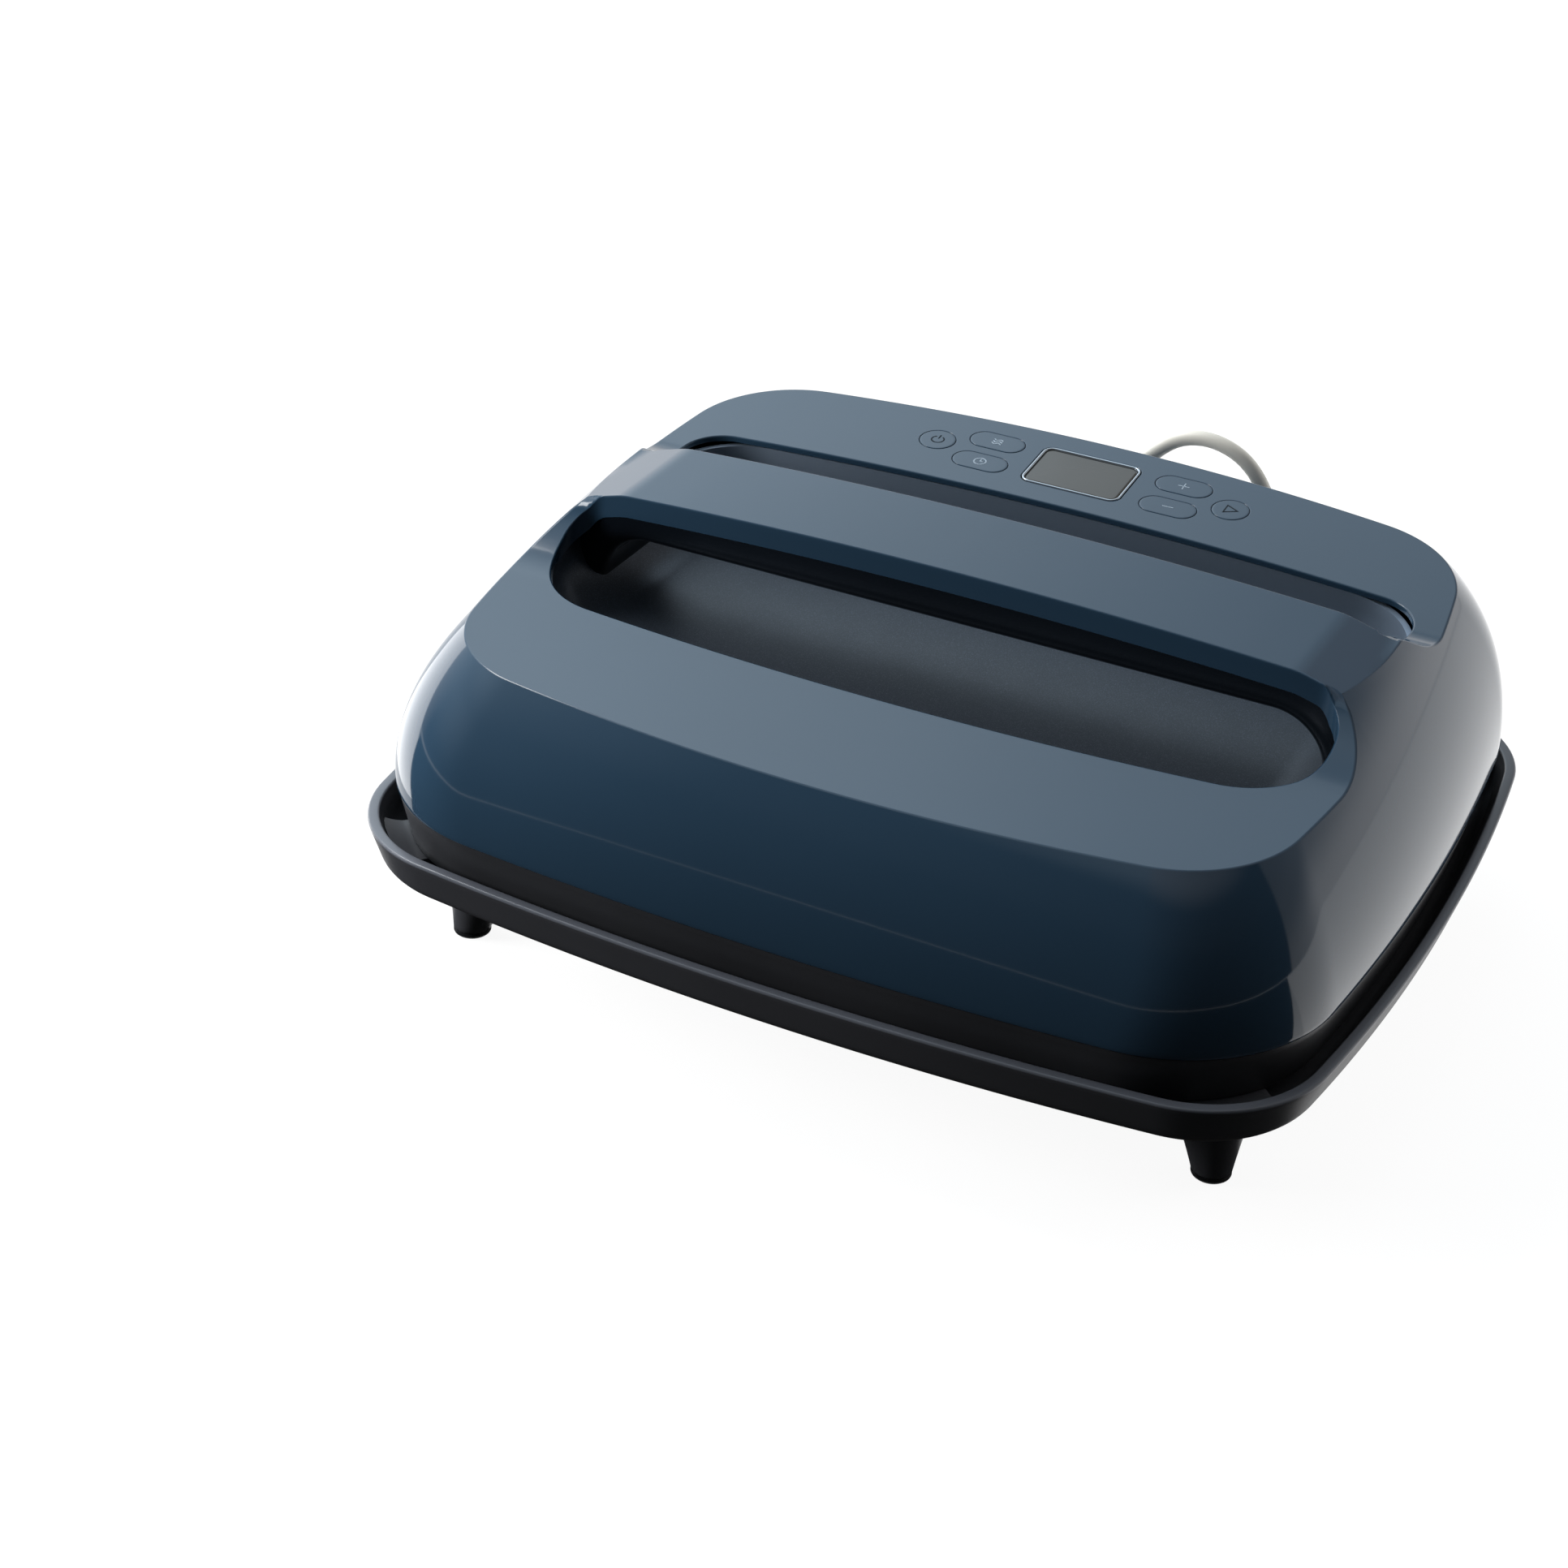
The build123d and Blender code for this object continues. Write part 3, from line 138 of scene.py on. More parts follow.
def between_rows(table, position):
    """Points of a table of loops, each place of the loop at its own row and part of a row."""
    low = position.astype(int)
    part = (position - low)[:, None]
    index = np.arange(table.shape[1])
    return table[low, index] * (1 - part) + table[low + 1, index] * part


WALL_STEP = 0.01
WALL = np.stack([wall_level(share) for share in np.linspace(0.0, 1.3, 131)])


def wall_at(shares):
    """Points of the wall, one for each place of the loop, at these shares of its height."""
    return between_rows(WALL, np.clip(shares, 0, 1.2999) / WALL_STEP)


# Height of the top
def rounded_profile(corners, radii):
    """Dense open line through corners, each rounded by its radius."""
    corners = [np.array(c, float) for c in corners]
    line = [corners[0]]
    for before, here, after, radius in zip(corners, corners[1:], corners[2:], radii):
        u, v = unit(before - here), unit(after - here)
        half = np.arccos(np.clip(u @ v, -1, 1)) / 2
        reach = radius / tan(half)
        centre = here + unit(u + v) * radius / sin(half)
        s0 = here + u * reach - centre
        s1 = here + v * reach - centre
        sweep = np.arccos(np.clip(s0 @ s1 / radius**2, -1, 1))
        for k in range(25):
            t = k / 24
            line.append(centre + (s0 * sin((1 - t) * sweep) + s1 * sin(t * sweep)) / sin(sweep))
    line.append(corners[-1])
    return np.array(line)


def front_plane(y):
    return SKIRT_LINE + FRONT_RISE + tan(radians(FRONT_TILT)) * (y + FRONT_EDGE)


def rear_plane(y):
    return PANEL_Z + tan(radians(PANEL_TILT)) * (y - PANEL_Y)


NECK = rounded_profile(
    [(-160, front_plane(-160)), (-35.9, front_plane(-35.9)), (-22.5, SKIRT_LINE + 68.7),
     (25, SKIRT_LINE + 70.1), (41, rear_plane(41)), (160, rear_plane(160))], (42, 2.5, 4, 32))
HANDLE_TOP, HANDLE_FRONT, HANDLE_REAR = SKIRT_LINE + 78.3, -22.0, 24.0
SOFT = 0.8  # half the height over which handle and neck melt into each other
STEEP = 2.5  # fall of the handle in front of and behind its edges
HANDLE_LINE = rounded_profile(
    [(0, HANDLE_TOP)]
    + [(x, HANDLE_TOP - 3.3 * (x / 118) ** 2) for x in (20, 40, 60, 80, 100)]
    + [(121, HANDLE_TOP - 3.5), (139.2, SKIRT_LINE + 69.7), (150, SKIRT_LINE + 60)],
    (2000, 2000, 2000, 2000, 900, 26, 4),
)


def top_height(x, y):
    """Height of the top of the press over this place."""
    neck = np.interp(y, NECK[:, 0], NECK[:, 1])
    handle = np.interp(np.abs(x), HANDLE_LINE[:, 0], HANDLE_LINE[:, 1])
    handle = handle - STEEP * (np.clip(HANDLE_FRONT - y, 0, None) + np.clip(y - HANDLE_REAR, 0, None))
    gap = handle - neck
    return neck + np.where(gap > SOFT, gap, np.where(gap < -SOFT, 0, (gap + SOFT) ** 2 / (4 * SOFT)))


def top_normal(x, y):
    """Direction of the top's surface over this place."""
    step = 0.05
    dx = (top_height(x + step, y) - top_height(x - step, y)) / (2 * step)
    dy = (top_height(x, y + step) - top_height(x, y - step)) / (2 * step)
    return unit(np.stack([-dx, -dy, np.ones_like(dx)], -1))


# Meshes
def make_piece(name, points, faces, material, body, nodes=(), slot=None, normals=None, sharp=None):
    """Mesh piece from points in millimetres, riding on a body and standing for its nodes."""
    mesh = bpy.data.meshes.new(name)
    mesh.from_pydata((np.asarray(points) * MM).tolist(), [], faces)
    mesh.validate()
    mesh.shade_smooth()
    if normals is not None:
        mesh.normals_split_custom_set_from_vertices(normals.tolist())
    elif sharp:
        mesh.set_sharp_from_angle(angle=radians(sharp))
    mesh.materials.append(material)
    piece = add_object(name, mesh)
    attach(piece, body)
    if nodes:
        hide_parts(*nodes)
    return piece


def level_ring(loop, z):
    """A loop in plan, set at this height."""
    return np.column_stack([loop, np.broadcast_to(z, (len(loop),))])


def head_ring(inset, z):
    """The head's outline at the skirt's lower edge, drawn in by an inset."""
    return level_ring(outline(HALF_LENGTH - inset, HALF_WIDTH - inset, BULGE, BULGE, CORNER - inset), z)


def ring_faces(rings, count, start=0, closed=True):
    """Quads between consecutive rings of count points each."""
    faces = []
    for r in range(rings - 1):
        for i in range(count if closed else count - 1):
            j = (i + 1) % count
            a = start + r * count
            faces.append((a + i, a + j, a + count + j, a + count + i))
    return faces


def loft(rings, cap_first=False, cap_last=False, flip=False):
    """Points and faces of a skin over rings."""
    count = len(rings[0])
    points = np.concatenate(rings)
    faces = ring_faces(len(rings), count)
    if cap_first:
        faces.append(tuple(range(count))[::-1])
    if cap_last:
        faces.append(tuple(range((len(rings) - 1) * count, len(rings) * count)))
    if flip:
        faces = [f[::-1] for f in faces]
    return points, faces


def join(*parts):
    """Several (points, faces) as one."""
    points, faces, offset = [], [], 0
    for p, f in parts:
        points.append(p)
        faces += [tuple(i + offset for i in face) for face in f]
        offset += len(p)
    return np.concatenate(points), faces


def round_over(edge, down, inward, radius, steps=5):
    """Arc that rounds an edge between two directions, from the down side to the inward side."""
    half = np.arccos(np.clip((down * inward).sum(-1), -1, 1)) / 2
    reach = (radius / np.tan(half))[:, None]
    centre = edge + unit(down + inward) * (radius / np.sin(half))[:, None]
    s0 = edge + down * reach - centre
    s1 = edge + inward * reach - centre
    sweep = np.arccos(np.clip((unit(s0) * unit(s1)).sum(-1), -1, 1))[:, None]
    rings, normals = [], []
    for k in range(steps + 1):
        t = k / steps
        spoke = (s0 * np.sin((1 - t) * sweep) + s1 * np.sin(t * sweep)) / np.sin(sweep)
        rings.append(centre + spoke)
        normals.append(unit(spoke))
    return rings, normals


def tangents(loop):
    return unit(np.roll(loop, -1, 0) - np.roll(loop, 1, 0))


def inside(points, loop):
    """Which points in plan lie inside a loop."""
    x, y = points.T[:2, :, None]
    x0, y0 = loop.T[:2]
    x1, y1 = np.roll(loop.T[:2], -1, 1)
    crosses = (y0 > y) != (y1 > y)
    rise = np.where(y1 == y0, 1e-9, y1 - y0)
    return ((x < x0 + (y - y0) * (x1 - x0) / rise) & crosses).sum(1) % 2 == 1


def near_loop(points, loop, gap):
    """Which points in plan lie closer to a loop's points than the gap."""
    distance = np.linalg.norm(points[:, None, :2] - loop[None, :, :2], axis=2)
    return distance.min(1) < gap


# Openings of the top cover, in plan, counter-clockwise
def bow_loop(half, straight, bow_middle, bow, corner, neck_corner):
    """Opening with a straight side along the handle and a bowed one away from it."""
    side = 1 if bow_middle > straight else -1
    v0, v1 = side * straight, side * bow_middle
    bow_radius = (half**2 + bow**2) / (2 * bow)
    bow_centre = v1 - bow_radius
    cx = half - corner
    cy = bow_centre + sqrt((bow_radius - corner) ** 2 - cx**2)
    turn = atan2(cy - bow_centre, cx)
    flat = half - neck_corner
    xs = np.concatenate([np.arange(0, flat - 22, 3.5), np.linspace(flat - 22, flat, 16)[:-1]])
    ys = np.linspace(v0 + neck_corner, cy, max(int((cy - v0 - neck_corner) / 1.5), 1) + 1)[:-1]
    half_loop = np.concatenate([
        np.stack([xs, np.full_like(xs, v0)], 1),
        arc_points((flat, v0 + neck_corner), neck_corner, -pi / 2, 0, 14)[:-1],
        np.stack([np.full_like(ys, half), ys], 1),
        arc_points((cx, cy), corner, 0, turn, 22)[:-1],
        arc_points((0, bow_centre), bow_radius, turn, pi / 2, 32),
    ])
    loop = np.concatenate([half_loop, half_loop[1:-1][::-1] * (-1, 1)]) * (1, side)
    return loop if side > 0 else loop[::-1]


def round_loop(half_x, half_y, radius, corner_steps=8, side_steps=6):
    """Rounded rectangle or pill about the origin, counter-clockwise."""
    x, y = half_x - radius, half_y - radius
    loop = np.concatenate([arc_points(centre, radius, k * pi / 2, (k + 1) * pi / 2, corner_steps)
                           for k, centre in enumerate([(x, y), (-x, y), (-x, -y), (x, -y)])])
    loop = loop[np.linalg.norm(loop - np.roll(loop, 1, 0), axis=1) > 0.01]
    filled = []
    for a, b in zip(loop, np.roll(loop, -1, 0)):
        count = side_steps if np.linalg.norm(b - a) > 3 else 1
        filled += [a + (b - a) * k / count for k in range(count)]
    return np.array(filled)


DOWN = np.array([0.0, 0, -1])
SLOPE = radians(PANEL_TILT)
DECK_MIDDLE = np.array([0, PANEL_Y, PANEL_Z])
DECK_RIGHT = np.array([1.0, 0, 0])
DECK_UP = np.array([0, cos(SLOPE), sin(SLOPE)])
DECK_NORMAL = np.array([0, -sin(SLOPE), cos(SLOPE)])


def on_deck(points, height=0.0):
    """Places (across, up) of the control deck in the shared frame, at a height over it."""
    return DECK_MIDDLE + points[:, :1] * DECK_RIGHT + points[:, 1:] * DECK_UP + height * DECK_NORMAL


BUTTON_GAP = 0.35
ROUND_RADIUS = 6.4
PILL_X, PILL_Y = 10.2, 5.25
BUTTONS = {
    "power_button": (-56.5, 0.0, ROUND_RADIUS, ROUND_RADIUS),
    "start_button": (56.5, 0.0, ROUND_RADIUS, ROUND_RADIUS),
    "temperature_button": (-36.1, 7.8, PILL_X, PILL_Y),
    "time_button": (-36.1, -7.8, PILL_X, PILL_Y),
    "plus_button": (36.1, 7.8, PILL_X, PILL_Y),
    "minus_button": (36.1, -7.8, PILL_X, PILL_Y),
}
WINDOW_X, WINDOW_Y, WINDOW_CORNER = 19.1, 13.3, 4.2


# Outer edge of the top, at the share of its height where each place of the wall meets the top
low, high = np.full(WALL.shape[1], 0.4), np.full(WALL.shape[1], 1.299)
for _ in range(40):
    middle = (low + high) / 2
    x, y, z = wall_at(middle).T
    over = z > top_height(x, y)
    low, high = np.where(over, low, middle), np.where(over, middle, high)
edge_share = (low + high) / 2
edge = wall_at(edge_share)
edge_run = tangents(edge)
last_stretch = edge - wall_at(edge_share - 0.03)
wall_up = unit(last_stretch)
wall_down = -unit(wall_up - (wall_up * edge_run).sum(-1, keepdims=True) * edge_run)
top_in = unit(np.cross(top_normal(edge[:, 0], edge[:, 1]), edge_run))
edge_rings, edge_normals = round_over(edge, wall_down, top_in, EDGE, 6)
wall_length = np.linalg.norm(last_stretch, axis=1) / 0.03
wall_share = edge_share - np.linalg.norm(edge_rings[0] - edge, axis=1) / wall_length

# Skirt, from a small rolled lip at the band up to the edge
wall_rings = [
    head_ring(*row) for row in ((2.7, 66.0), (2.7, 64.0), (0.7, 64.0), (0.35, 64.07), (0.1, 64.3))
]
wall_rings += [wall_at(0.012 + (wall_share - 0.012) * k / 32) for k in range(33)]

# Top cover: a triangulated plan with its holes, lifted to the height of the top
def outward(loop):
    """Directions away from a loop, in plan."""
    run = tangents(loop)
    return np.stack([run[:, 1], -run[:, 0]], 1)


def with_lip(rings, normals, lip, down, out, width):
    """Rings and normals of a rim, with a lip below it that reaches out under the cover."""
    return [lip + out * width, lip] + rings, [np.tile(down, (len(lip), 1)), -out] + normals


def hole_rim(loop, depth):
    """Lip and rounding of an opening beside the handle."""
    out = outward(loop)
    z = top_height(loop[:, 0], loop[:, 1])
    step = 0.2
    ahead = top_height(loop[:, 0] + out[:, 0] * step, loop[:, 1] + out[:, 1] * step)
    rim = np.column_stack([loop, z])
    rings, normals = round_over(rim, DOWN, unit(np.column_stack([out, (ahead - z) / step])), 0.7, 5)
    return with_lip(rings, normals, rim + depth[:, None] * DOWN, DOWN, level_ring(out, 0), 1.6)


def deck_rim(shape):
    """Lip and rounding of an opening in the control deck."""
    out = outward(shape)
    out = out[:, :1] * DECK_RIGHT + out[:, 1:] * DECK_UP
    rim = on_deck(shape)
    rings, normals = round_over(rim, -DECK_NORMAL, out, 0.35, 4)
    return with_lip(rings, normals, rim - 3.0 * DECK_NORMAL, -DECK_NORMAL, out, 1.2)


slot = bow_loop(138.0, HANDLE_FRONT, -68.6, 8.4, 30.0, 10.0)
valley = bow_loop(137.0, HANDLE_REAR, 71.3, 8.4, 16.0, 6.0)
rims = [hole_rim(slot, 2.2 + 5.8 * np.clip((slot[:, 1] + 62) / 36, 0, 1) ** 1.3),
        hole_rim(valley, 2.0 + 6.0 * np.clip((34 - valley[:, 1]) / 10, 0, 1))]
for x, y, half_x, half_y in BUTTONS.values():
    shape = round_loop(half_x + BUTTON_GAP, half_y + BUTTON_GAP, half_y + BUTTON_GAP)
    rims.append(deck_rim(shape + (x, y)))
rims.append(deck_rim(round_loop(WINDOW_X, WINDOW_Y, WINDOW_CORNER)))
top_loops = [edge_rings[-1]] + [rings[-1] for rings, normals in rims]


def grid(x_range, y_range):
    return np.stack(np.meshgrid(np.arange(*x_range), np.arange(*y_range)), -1).reshape(-1, 2)


def inner_points():
    """Points inside the plan: a coarse grid, and a fine one where the handle meets the necks."""
    coarse = grid((-152, 153, 4.0), (-130, 131, 4.0))
    fine = grid((106, 152, 1.6), (-64, 62, 1.6))
    middle = grid((-104, 105, 4.0), (-21, 24, 2.2))
    x, y = np.abs(coarse[:, 0]), coarse[:, 1]
    crowded = (x > 104) & (y > -66) & (y < 64) | (x < 106) & (y > -24) & (y < 26)
    points = np.concatenate([coarse[~crowded], fine, fine * (-1, 1), middle])
    keep = inside(points, top_loops[0]) & ~near_loop(points, top_loops[0], 1.5)
    for loop in top_loops[1:]:
        keep &= ~inside(points, loop) & ~near_loop(points, loop, 1.2)
    return points[keep]


def top_sheet():
    """Points, triangles and normals of the top between its edge and its openings."""
    flat = np.concatenate([loop[:, :2] for loop in top_loops] + [inner_points()])
    edges, start = [], 0
    for loop in top_loops:
        count = len(loop)
        edges += [(start + i, start + (i + 1) % count) for i in range(count)]
        start += count
    verts, _, triangles, origin, _, _ = delaunay_2d_cdt(
        [Vector(p) for p in flat], edges, [], 0, 1e-6
    )
    place = np.array([origin[i][0] if origin[i] else -1 for i in range(len(verts))])
    triangles = np.array([[place[i] for i in t] for t in triangles])
    middles = flat[triangles].mean(1)
    keep = inside(middles, top_loops[0][:, :2])
    for loop in top_loops[1:]:
        keep &= ~inside(middles, loop[:, :2])
    z = top_height(flat[:, 0], flat[:, 1])
    z[:start] = np.concatenate(top_loops)[:, 2]
    normals = top_normal(flat[:, 0], flat[:, 1])
    return np.column_stack([flat, z]), triangles[keep].tolist(), normals


sheet_points, cover_faces, sheet_normals = top_sheet()
cover_points, cover_normals = [sheet_points], [sheet_normals]
offset, loop_start = len(sheet_points), 0
for number, (rings, normals) in enumerate([(edge_rings, edge_normals)] + rims):
    count = len(rings[0])
    cover_points += rings[:-1]
    cover_normals += normals[:-1]
    quads = ring_faces(len(rings) - 1, count, offset)
    offset += (len(rings) - 1) * count
    for i in range(count):
        j, last = (i + 1) % count, offset - count
        quads.append((last + i, last + j, loop_start + j, loop_start + i))
    cover_faces += quads if number == 0 else [q[::-1] for q in quads]
    loop_start += count


# Materials
def add_node(tree, kind, inputs=(), **settings):
    """Shader node with these settings; each input is set to a value or linked to an output."""
    node = tree.nodes.new("ShaderNode" + kind)
    for name, value in settings.items():
        setattr(node, name, value)
    for key, value in dict(inputs).items():
        if isinstance(value, bpy.types.NodeSocket):
            tree.links.new(value, node.inputs[key])
        else:
            node.inputs[key].default_value = value
    return node


def calculate(tree, operation, *values):
    return add_node(tree, "Math", dict(enumerate(values)), operation=operation).outputs[0]


def soft_step(tree, value, low, high):
    """0 below low, 1 above high and a soft change between them."""
    return add_node(tree, "MapRange", {"Value": value, "From Min": low, "From Max": high},
                    interpolation_type="SMOOTHSTEP").outputs["Result"]


def mix_colours(tree, share, first, second):
    return add_node(tree, "Mix", {"Factor": share, 6: first, 7: second}, data_type="RGBA").outputs[2]


def new_material(name, **values):
    """Material, its node tree and its shader with these values."""
    made = bpy.data.materials.new(name)
    made.use_nodes = True
    shader = made.node_tree.nodes["Principled BSDF"]
    for socket, value in values.items():
        shader.inputs[socket.replace("_", " ")].default_value = value
    return made, made.node_tree, shader


def srgb(text):
    """Linear colour from a six-figure hexadecimal one."""
    values = [int(text[i:i + 2], 16) / 255 for i in (0, 2, 4)]
    return tuple(v / 12.92 if v <= 0.04045 else ((v + 0.055) / 1.055) ** 2.4 for v in values)


def finish(name, colour, roughness, tone, rough, bumps, metallic=0.0, ior=1.5, sheen=0.0,
           stretch=(1, 1, 1), specks=None):
    """Procedural finish that varies with place on the piece.

    tone and rough are (scale, amount) of the noise in colour and in roughness, bumps a list of
    (scale, depth in mm), and specks the (scale, colour, share) of small grains.
    """
    if isinstance(colour, str):
        colour = srgb(colour)
    made, tree, shader = new_material(name, Base_Color=(*colour, 1), Roughness=roughness,
                                      Metallic=metallic, IOR=ior, Sheen_Weight=sheen)
    place = add_node(tree, "TexCoord").outputs["Object"]
    place = add_node(tree, "Mapping", {"Vector": place, "Scale": stretch}).outputs["Vector"]

    def noise(scale, detail=3.0):
        inputs = {"Vector": place, "Scale": scale, "Detail": detail}
        return add_node(tree, "TexNoise", inputs).outputs["Fac"]

    def ramp(value, *stops):
        node = add_node(tree, "ValToRGB", {"Fac": value})
        for element, (position, shade) in zip(node.color_ramp.elements, stops):
            element.position = position
            element.color = (*shade, 1)
        return node.outputs["Color"]

    scale, amount = tone
    colours = ramp(noise(scale), (0.3, [c * (1 - amount) for c in colour]),
                   (0.7, [min(c * (1 + amount), 1) for c in colour]))
    if specks:
        scale, shade, share = specks
        grains = add_node(tree, "TexVoronoi", {"Vector": place, "Scale": scale}).outputs["Color"]
        level = add_node(tree, "SeparateColor", {"Color": grains}).outputs["Red"]
        cut = ramp(level, (1 - share, (0, 0, 0)), (1 - share * 0.5, (1, 1, 1)))
        colours = mix_colours(tree, cut, colours, (*srgb(shade), 1))
    tree.links.new(colours, shader.inputs["Base Color"])
    scale, amount = rough
    spread = add_node(tree, "MapRange", {"Value": noise(scale), "To Max": roughness + amount,
                                         "To Min": max(roughness - amount, 0.02)})
    tree.links.new(spread.outputs["Result"], shader.inputs["Roughness"])
    relief = {}
    for scale, depth in bumps:
        inputs = {"Height": noise(scale, 2.0), "Distance": depth * MM, "Strength": 1.0, **relief}
        relief = {"Normal": add_node(tree, "Bump", inputs).outputs["Normal"]}
    tree.links.new(relief["Normal"], shader.inputs["Normal"])
    return made


NAVY = (0.018, 0.041, 0.070)
M = {
    "gloss": finish("housing_gloss", NAVY, 0.07, (9, 0.04), (60, 0.012), ((35, 0.006), (2500, 0.0012))),
    "cover": finish("cover_gloss", NAVY, 0.13, (9, 0.04), (60, 0.02), ((35, 0.005), (2500, 0.0012))),
    "satin": finish("well_satin_with_painted_sheen", "373e47", 0.34, (14, 0.05), (90, 0.03), ((7000, 0.0016),),
                    metallic=0.5, specks=(6000, "57606e", 0.12)),
    "black": finish("lower_cover_black", "0b0f14", 0.16, (12, 0.2), (70, 0.03), ((2200, 0.003),)),
    "band": finish("band_black", "2f3033", 0.42, (20, 0.15), (120, 0.05), ((1600, 0.010),)),
    "tray": finish("tray_charcoal", "3b3c40", 0.45, (18, 0.08), (150, 0.06),
                   ((1400, 0.018), (4000, 0.006))),
    # Painted highlight: the tray rim's lighter colour stands in for the light its upward face catches
    "rim": finish("tray_rim_painted_highlight", "54575e", 0.3, (18, 0.06), (150, 0.05), ((1400, 0.010), (4000, 0.005))),
    "rubber": finish("rubber", "17181a", 0.75, (80, 0.2), (300, 0.08), ((1800, 0.03),)),
    "liner": finish("heat_liner", "4b4d50", 0.6, (30, 0.1), (200, 0.1), ((900, 0.04),)),
    "plate": finish("plate_coating", "2b2c2e", 0.38, (40, 0.1), (200, 0.06), ((1200, 0.012),),
                    metallic=0.3),
    "steel": finish("zinc_steel", "a9adb2", 0.3, (50, 0.06), (160, 0.08), ((700, 0.01),), metallic=1.0,
                    stretch=(1, 6, 1)),
    "element": finish("element_sheath", "6d6f72", 0.42, (120, 0.15), (300, 0.1), ((600, 0.02),),
                      metallic=1.0),
    "fibre": finish("board_fibre", "cbbf9f", 0.85, (90, 0.12), (300, 0.08), ((800, 0.06),),
                    stretch=(1, 5, 1)),
    "circuit": finish("circuit_green", "1f5a3a", 0.4, (400, 0.15), (300, 0.1), ((500, 0.03),)),
    "part": finish("part_black", "1c1c1e", 0.45, (150, 0.15), (300, 0.1), ((1500, 0.01),)),
    "copper": finish("copper", "c4774a", 0.35, (200, 0.1), (300, 0.1), ((900, 0.01),), metallic=1.0),
    "keypad": finish("pad_grey", "8d8f8e", 0.7, (120, 0.08), (200, 0.08), ((900, 0.02),)),
    "display": finish("display_face", "77756e", 0.45, (250, 0.03), (400, 0.05), ((2500, 0.004),)),
    "bezel": finish("frame_clear", "b4bcc4", 0.12, (60, 0.05), (100, 0.03), ((900, 0.002),),
                    metallic=0.9),
    "lens": finish("display_lens", "37342f", 0.1, (30, 0.05), (90, 0.03),
                   ((60, 0.002), (2500, 0.0008))),
    "cord": finish("cord_vinyl", "d2cec4", 0.42, (70, 0.05), (200, 0.08), ((700, 0.02), (3000, 0.006))),
    "tie": finish("tie_black", "1b1b1d", 0.8, (500, 0.25), (600, 0.1), ((2200, 0.12),), sheen=0.3),
    "brass": finish("pin_brass", "c9a557", 0.25, (200, 0.08), (300, 0.08), ((700, 0.006),),
                    metallic=1.0, stretch=(1, 1, 5)),
    "icon_dark": finish("icon_dark", "0d151d", 0.7, (300, 0.06), (300, 0.05), ((2500, 0.004),),
                        ior=1.25),
    "icon_light": finish("icon_light", "8b98a4", 0.5, (300, 0.05), (300, 0.05), ((2500, 0.004),),
                         ior=1.3),
}


# Painted light: the satin's colour is lightened on the rear wall of the thumb gap, high up and far
# back, standing in for the sheen that light gives there
tree = M["satin"].node_tree
axes = add_node(tree, "SeparateXYZ", {0: add_node(tree, "TexCoord").outputs["Object"]}).outputs
painted_light_share = calculate(tree, "MULTIPLY", soft_step(tree, axes["Z"], 104 * MM, 118 * MM),
                 soft_step(tree, axes["Y"], 10 * MM, 50 * MM))
base = tree.nodes["Principled BSDF"].inputs["Base Color"]
tree.links.new(mix_colours(tree, painted_light_share, base.links[0].from_socket, (*srgb("8796a8"), 1)), base)

make_piece("skirt_shell", *loft(wall_rings), M["gloss"], "press", ("skirt",), "gloss_blue", sharp=50)
make_piece("cover_shell", np.concatenate(cover_points), cover_faces, M["cover"], "press",
           ("top_cover",), "cover_blue", normals=np.concatenate(cover_normals))


# Well: upright walls, a broad rounding and a level floor
WELL_X, WELL_Y, WELL_MIDDLE, WELL_CORNER = 138.5, 70.75, 2.15, 30.0
WELL_FLOOR, WELL_ROUND = SKIRT_LINE + 34.0, 22.0


def well_loop(inset):
    """Outline of the well's walls, drawn in by an inset."""
    return outline(WELL_X - inset, WELL_Y - inset, 0.4, 8.4, WELL_CORNER - inset, WELL_MIDDLE,
                   (26, 20, 14))


STEPS = 30
WELL_TURNS = np.linspace(0, pi / 2, STEPS + 1)
WELL_TABLE = np.stack([well_loop(WELL_ROUND * (1 - cos(turn))) for turn in WELL_TURNS])
well_top = np.interp(WELL_TABLE[0, :, 1], NECK[:, 0], NECK[:, 1]) - 3.2
upright = np.clip(well_top - WELL_FLOOR - WELL_ROUND, 0, None)
first_turn = np.arcsin(np.clip(1 - (well_top - WELL_FLOOR) / WELL_ROUND, 0, 1))
well_run = upright + WELL_ROUND * (pi / 2 - first_turn)


def well_at(share):
    """Ring of the well at this share of the way from its top edge to its level floor."""
    gone = share * well_run
    turn = first_turn + np.clip(gone - upright, 0, None) / WELL_ROUND
    z = np.where(gone < upright, well_top - gone, WELL_FLOOR + WELL_ROUND * (1 - np.sin(turn)))
    row = np.clip(turn / WELL_TURNS[1], 0, STEPS - 0.001)
    return np.column_stack([between_rows(WELL_TABLE, row), z])


well_rings = [level_ring(well_loop(-2.2), well_top)]
well_rings += [well_at(share) for share in np.linspace(0, 1, 27)]
bottom = well_loop(WELL_ROUND)
for share in (0.85, 0.65, 0.4, 0.15):
    well_rings.append(level_ring((bottom - (0, WELL_MIDDLE)) * share + (0, WELL_MIDDLE), WELL_FLOOR))
well_points, well_faces = loft(well_rings, cap_last=True)
make_piece("well_dish", well_points, [f[::-1] for f in well_faces], M["satin"], "press",
           ("handle_well",), "well_blue", sharp=60)

# Lower cover of the handle: a trough bent down into a leg at each end
GRIP_FRONT, GRIP_REAR, GRIP_ROUND = HANDLE_FRONT + 0.3, HANDLE_REAR - 0.3, 7.0
ARCH_X, ARCH_Z, ARCH_CORNER = 131.0, SKIRT_LINE + 57.0, 18.0
OPENING_HALF, SKIN_DEPTH = 137.9, 8.3


